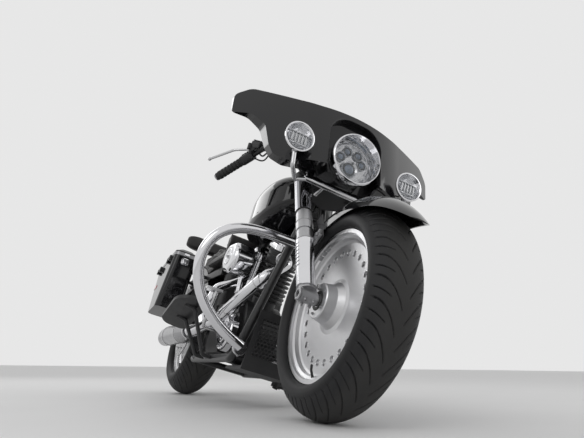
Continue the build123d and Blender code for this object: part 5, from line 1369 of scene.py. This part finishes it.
class CRUISER_OT_bag_trim(bpy.types.Operator):
    """Add grey bands and catches to the lids, and latches, screws and reflectors to the saddlebags"""
    bl_idname = "cruiser.bag_trim"
    bl_label = "Saddlebag trim"

    def execute(self, context):
        ring = rounded_outline(-0.365, 0.0, 0.200, 0.320, 0.026)
        front = np.concatenate([[[-0.052, 0.320]], ring[:8][::-1], ring[24:][::-1]])
        rear = np.concatenate([ring[16:24][::-1], ring[8:16][::-1], [[-0.328, 0.320]]])
        strips = [np.concatenate([front, rear]), np.array([[-0.128, 0.320], [-0.190, 0.320], [-0.252, 0.320]])[::-1]]
        for side, name in ((-1, "right"), (1, "left")):
            body, bag = "bag_lid_" + name, "chassis"
            parts = []
            for k, strip in enumerate(strips):
                p, f = band(strip if k == 0 else strip[::-1], 0.0032, 0.0200, 0.0014)
                if side < 0:
                    f = [face[::-1] for face in f]
                parts.append((hung(flip_y(p, side)), [face[::-1] for face in f]))
            piece("lid_band_" + name, parts, body, "satin_alu", "grey_trim")
            c, s = math.cos(BAG_TILT), math.sin(BAG_TILT)
            ux, uz = np.array([c, 0, s]), np.array([-s, 0, c])
            plates, catches, screws, glass = [], [], [], []
            slope = math.atan2(0.055, 0.270)
            fx, fz = math.cos(slope), math.sin(slope)
            face = ux * fx - uz * fz
            down = -(uz * fx + ux * fz)
            seat = hung([-0.0052, side * 0.260, -0.0240])
            plates.append(block(seat + face * 0.0016, face, Y_AXIS, -down, (0.0046, 0.040, 0.034), 0.25))
            plates.append(block(seat + face * 0.0055 - down * 0.002, face, Y_AXIS, -down, (0.0050, 0.026, 0.030), 0.35))
            catches.append(block(hung([0.0014, side * 0.260, 0.0125]), ux, Y_AXIS, uz, (0.0046, 0.026, 0.0150), 0.3))
            for dy in (-0.016, 0.016):
                screws.append(bolt(seat + face * 0.0034 + Y_AXIS * dy + down * 0.012, face, 0.0020, 0.0018, 20))
            for x in (-0.290, -0.090):
                for dx in (-0.0225, 0.0225):
                    screws.append(bolt(hung([x + dx, side * 0.3345, -0.014]), Y_AXIS * side, 0.0026, 0.002, 20))
            y = 0.320 + 0.012 * 0.115 / 0.270
            glass.append(block(hung([-0.262, side * (y + 0.0006), -0.115]), ux, Y_AXIS, uz,
                               (0.050, 0.0040, 0.020), 0.25))
            piece("bag_latch_" + name, plates, bag, "chrome", "chrome")
            piece("lid_catch_" + name, catches, body, "chrome", "chrome")
            piece("bag_screws_" + name, screws, bag, "steel", "steel")
            piece("bag_reflector_" + name, glass, bag, "red_lens", "red_lens")
        return {"FINISHED"}


def on_board(points, side):
    """Floorboard frame to upright: pitched up at the front about the board's centre."""
    p = np.asarray(points, float)
    c, s = math.cos(BOARD_PITCH), math.sin(BOARD_PITCH)
    x, y, z = p[..., 0], p[..., 1], p[..., 2]
    return np.stack([0.810 + x * c - z * s, side * y, 0.290 + x * s + z * c], -1)


def hull_outline(circles, count=96):
    """Outline of a hull of circles: at each angle the farthest c + r d along d = (cos t, sin t)."""
    t = np.linspace(0, 2 * np.pi, count, endpoint=False)
    d = np.stack([np.cos(t), np.sin(t)], -1)
    c = np.array([[x, y] for x, y, r in circles])
    r = np.array([r for x, y, r in circles])
    reach = d @ c.T + r[None, :]
    best = np.argmax(reach, axis=1)
    return c[best] + d * r[best][:, None]


def width_at(outline, x):
    """Lowest and highest y where the line at x crosses a closed outline."""
    p, q = outline, np.roll(outline, -1, axis=0)
    crosses = (p[:, 0] - x) * (q[:, 0] - x) < 0
    t = (x - p[crosses, 0]) / (q[crosses, 0] - p[crosses, 0])
    y = p[crosses, 1] + t * (q[crosses, 1] - p[crosses, 1])
    return y.min(), y.max()


def slab(outline, z0, z1, soften):
    """Plate over a convex outline with softened edges, closed at both faces."""
    p = np.asarray(outline, float)
    mid = p.mean(axis=0)
    rings = []
    for inset, z in ((soften, z0), (0.0, z0 + soften), (0.0, z1 - soften), (soften, z1)):
        way = p - mid
        length = np.linalg.norm(way, axis=1, keepdims=True)
        rings.append(np.concatenate([mid + way * (1 - inset / length), np.full((len(p), 1), z)], axis=1))
    n = len(p)
    faces = [[j * n + (i + 1) % n, j * n + i, (j + 1) * n + i, (j + 1) * n + (i + 1) % n][::-1]
             for j in range(3) for i in range(n)]
    faces.append(list(range(n))[::-1])
    faces.append([3 * n + k for k in range(n)])
    return np.concatenate(rings), faces


class CRUISER_OT_lower_trim(bpy.types.Operator):
    """Add floorboard pads and rims, guard and frame bolts, and the chin's mesh"""
    bl_idname = "cruiser.lower_trim"
    bl_label = "Lower trim"

    def execute(self, context):
        circles = ((-0.110, 0.257, 0.025), (0.115, 0.262, 0.030), (-0.070, 0.292, 0.060), (0.070, 0.286, 0.066))
        outline = hull_outline([(x, y, r - 0.0042) for x, y, r in circles])
        small = hull_outline([(x, y, r - 0.014) for x, y, r in circles])
        pads, rims, bolts = [], [], []
        for side in (-1, 1):
            p, f = slab(small, 0.0138, 0.0185, 0.0015)
            pads.append((on_board(p, side), [face[::-1] for face in f] if side < 0 else f))
            for x in np.linspace(-0.105, 0.112, 11):
                low, high = width_at(small, x)
                low, high = low + 0.006, high - 0.006
                c = on_board([x, (low + high) / 2, 0.0195], 1)
                ux = on_board([1, 0, 0], 1) - on_board([0, 0, 0], 1)
                uz = on_board([0, 0, 1], 1) - on_board([0, 0, 0], 1)
                pads.append(block(c * [1, side, 1], ux, Y_AXIS, uz, (0.008, high - low, 0.0055), 0.35))
            edge = on_board(np.concatenate([outline, np.full((96, 1), 0.007)], axis=1), side)
            edge = np.concatenate([edge, edge[:1]])
            keep = np.linalg.norm(np.diff(edge, axis=0), axis=1) > 1e-4
            edge = edge[:-1][keep]
            rims.append(tube(np.concatenate([edge, edge[:2]]), 0.0040, 12, round_ends=False))
            for x, y in ((-0.085, 0.262), (0.095, 0.270), (0.060, 0.322), (-0.060, 0.325)):
                centre = on_board([x, y, 0.0180], 1) * [1, side, 1]
                bolts.append(bolt(centre, uz, 0.0035, 0.003))
        piece("floorboard_pads", pads, "chassis", "rubber", "rubber")
        piece("floorboard_rims", rims, "chassis", "chrome", "chrome")
        gx, gz = 1.190 + 0.18 * 0.007, 0.181
        clamps = []
        for side in (-1, 1):
            for z in (gz + 0.0235, gz - 0.0235):
                bolts.append(bolt([gx - 0.007, side * 0.132, z], Z_AXIS * np.sign(z - gz), 0.0045, 0.006))
            clamps.append(collar([gx - 0.013, side * 0.132, gz], X_AXIS, 0.0228, 0.0254, 0.012, 40))
            for x, z in ((0.800, 0.150), (0.600, 0.150)):
                bolts.append(bolt([x, side * 0.1408, z], Y_AXIS * side, 0.005, 0.006))
            bolts.append(bolt([0.470, side * 0.1120, 0.300], Y_AXIS * side, 0.0095, 0.009))
        piece("lower_bolts", bolts, "chassis", "steel", "steel")
        piece("guard_clamps", clamps, "chassis", "chrome", "satin_chrome")
        cells = []
        radius = 0.0082
        rake = 0.185
        slant = np.array([rake, 0.0, 1.0]) / math.hypot(rake, 1.0)
        out = np.array([1.0, 0.0, -rake]) / math.hypot(rake, 1.0)
        for row in range(11):
            for col in range(12 - row % 2):
                y = (col - 5.5 + 0.5 * (row % 2)) * radius * 1.732
                up = 0.0085 + row * radius * 1.5
                seat = np.array([1.1815, y, 0.168]) + slant * up + out * 0.0040
                ring = [(0, radius * 0.82), (0, radius * 1.02), (0.002, radius * 1.02), (0.002, radius * 0.82)]
                cells.append(turned(seat, out, ring, 6))
        piece("chin_mesh", cells, "chassis", "black_plastic", "mesh_grille")
        return {"FINISHED"}


# Sizes and colours that a user would change

class CruiserLook(bpy.types.PropertyGroup):
    paint_colour: FloatVectorProperty(name="Paint colour", description="Base colour of the painted panels",
                                      subtype="COLOR", size=3, min=0.0, max=1.0, default=(0.006, 0.006, 0.007))
    seat_colour: FloatVectorProperty(name="Seat colour", description="Leather of the seat and pad",
                                     subtype="COLOR", size=3, min=0.0, max=1.0, default=(0.016, 0.015, 0.015))
    groove_depth: FloatProperty(name="Groove depth", description="Depth of the tread grooves",
                                default=0.0045, min=0.0, max=0.01, unit="LENGTH")
    groove_count: IntProperty(name="Groove pairs", description="Pairs of curved grooves round each tyre",
                              default=30, min=8, max=60)
    cable_radius: FloatProperty(name="Cable radius", description="Radius of the control cables",
                                default=0.0032, min=0.001, max=0.01, unit="LENGTH")
    seat_swell: FloatProperty(name="Seat swell", description="Farthest that the seat cover may puff out",
                              default=0.016, min=0.0, max=0.04, unit="LENGTH")


class CruiserStage(bpy.types.PropertyGroup):
    floor_colour: FloatVectorProperty(name="Floor colour", description="Colour of the plain floor",
                                      subtype="COLOR", size=3, min=0.0, max=1.0, default=(0.78, 0.78, 0.78))
    sky_strength: FloatProperty(name="Background", description="Brightness of the plain background",
                                default=0.80, min=0.0, max=2.0)
    key_power: FloatProperty(name="Key power", description="Power of the large soft key lamp",
                             default=30.0, min=0.0, max=500.0, subtype="POWER")
    fill_power: FloatProperty(name="Fill power", description="Power of the side lamp",
                              default=18.0, min=0.0, max=500.0, subtype="POWER")
    rim_power: FloatProperty(name="Rim power", description="Power of the lamp behind",
                             default=22.0, min=0.0, max=500.0, subtype="POWER")


# The stage

def area_lamp(name, place, target, size, power):
    data = bpy.data.lights.new(name, "AREA")
    data.shape = "RECTANGLE"
    data.size, data.size_y = size
    data.energy = power
    obj = bpy.data.objects.new(name, data)
    bpy.context.scene.collection.objects.link(obj)
    d = np.asarray(target, float) - np.asarray(place, float)
    a, b, d = frame_of(-d)
    obj.matrix_world = Matrix([[a[k], b[k], d[k], place[k]] for k in range(3)] + [[0, 0, 0, 1]])
    return obj


class CRUISER_OT_stage(bpy.types.Operator):
    """Add the floor, background, lamps and the low front camera"""
    bl_idname = "cruiser.stage"
    bl_label = "Studio stage"

    def execute(self, context):
        stage = context.scene.cruiser_stage
        mesh = bpy.data.meshes.new("StudioFloor")
        mesh.from_pydata([(-40, -40, 0), (40, -40, 0), (40, 40, 0), (-40, 40, 0)], [], [(0, 1, 2, 3)])
        floor = bpy.data.objects.new("StudioFloor", mesh)
        context.scene.collection.objects.link(floor)
        f = Finish("StudioFloorPaint", Metallic=0.0)
        speck = f.noise(2.0, 3.0, 0.5)
        f.feed(Base_Color=f.blend(speck, tuple(stage.floor_colour), tuple(c * 0.96 for c in stage.floor_colour)),
               Roughness=0.62 + speck * 0.1)
        mesh.materials.append(f.data)

        world = bpy.data.worlds.new("StudioWorld")
        context.scene.world = world
        world.use_nodes = True
        tree = world.node_tree
        back = tree.nodes["Background"]
        path = tree.nodes.new("ShaderNodeLightPath")
        seen = path.outputs["Is Camera Ray"]
        for ray in ("Is Transmission Ray", "Is Glossy Ray"):
            either = tree.nodes.new("ShaderNodeMath")
            either.operation = "MAXIMUM"
            tree.links.new(seen, either.inputs[0])
            tree.links.new(path.outputs[ray], either.inputs[1])
            seen = either.outputs[0]
        level = tree.nodes.new("ShaderNodeMapRange")
        level.inputs["To Min"].default_value = 0.62
        level.inputs["To Max"].default_value = stage.sky_strength
        tree.links.new(seen, level.inputs["Value"])
        tree.links.new(level.outputs[0], back.inputs["Strength"])
        back.inputs["Color"].default_value = (1.0, 1.0, 1.0, 1.0)

        area_lamp("KeyLamp", (2.6, -3.4, 3.4), (0.2, -0.1, 0.5), (3.0, 2.2), stage.key_power)
        area_lamp("FillLamp", (2.4, 3.6, 2.2), (0.2, 0.0, 0.5), (2.6, 2.0), stage.fill_power)
        area_lamp("RimLamp", (-3.4, -1.2, 3.0), (0.0, 0.0, 0.6), (2.6, 1.6), stage.rim_power)

        data = bpy.data.cameras.new("LowFrontCamera")
        data.sensor_width = 36.0
        focal_pixels, picture_width = 545.547, 584.0
        data.lens = focal_pixels * data.sensor_width / picture_width
        data.clip_start = 0.02
        data.clip_end = 200.0
        camera = bpy.data.objects.new("LowFrontCamera", data)
        context.scene.collection.objects.link(camera)
        yaw, pitch, roll = 2.7244, 0.2636, 0.0115
        look = np.array([math.cos(yaw) * math.cos(pitch), math.sin(yaw) * math.cos(pitch), math.sin(pitch)])
        right = np.array([math.sin(yaw), -math.cos(yaw), 0.0])
        up = np.cross(right, look)
        right, up = (right * math.cos(roll) + up * math.sin(roll), up * math.cos(roll) - right * math.sin(roll))
        place = np.array([3.0541, -0.7131, 0.1498]) + SHIFT
        camera.matrix_world = Matrix([[right[k], up[k], -look[k], place[k]] for k in range(3)] + [[0, 0, 0, 1]])
        context.scene.camera = camera
        context.scene.view_settings.view_transform = "Standard"
        return {"FINISHED"}


class CRUISER_PT_panel(bpy.types.Panel):
    """Sizes, colours and the piece builders"""
    bl_idname = "CRUISER_PT_panel"
    bl_label = "Cruiser Motorcycle"
    bl_space_type = "VIEW_3D"
    bl_region_type = "UI"
    bl_category = "Cruiser"

    def draw(self, context):
        column = self.layout.column()
        for group in (context.scene.cruiser_look, context.scene.cruiser_stage):
            for key in group.bl_rna.properties.keys():
                if key not in {"rna_type", "name"}:
                    column.prop(group, key)
        for operator in OPERATORS:
            column.operator(operator.bl_idname)


OPERATORS = (CRUISER_OT_tyres, CRUISER_OT_lamps, CRUISER_OT_wheel_trim, CRUISER_OT_fork_trim, CRUISER_OT_bar_trim,
             CRUISER_OT_fairing_trim, CRUISER_OT_engine_trim, CRUISER_OT_exhaust_and_tank_trim, CRUISER_OT_seat,
             CRUISER_OT_bag_trim, CRUISER_OT_lower_trim, CRUISER_OT_stage)
CLASSES = (CruiserLook, CruiserStage, *OPERATORS, CRUISER_PT_panel)


def register():
    for cls in CLASSES:
        bpy.utils.register_class(cls)
    bpy.types.Scene.cruiser_look = PointerProperty(type=CruiserLook)
    bpy.types.Scene.cruiser_stage = PointerProperty(type=CruiserStage)


def unregister():
    del bpy.types.Scene.cruiser_stage
    del bpy.types.Scene.cruiser_look
    for cls in reversed(CLASSES):
        bpy.utils.unregister_class(cls)


def main():
    register()
    make_finishes(bpy.context.scene.cruiser_look)
    finish_nodes()
    for operator in OPERATORS:
        group, name = operator.bl_idname.split(".")
        getattr(getattr(bpy.ops, group), name)()


if __name__ == "__main__":
    main()
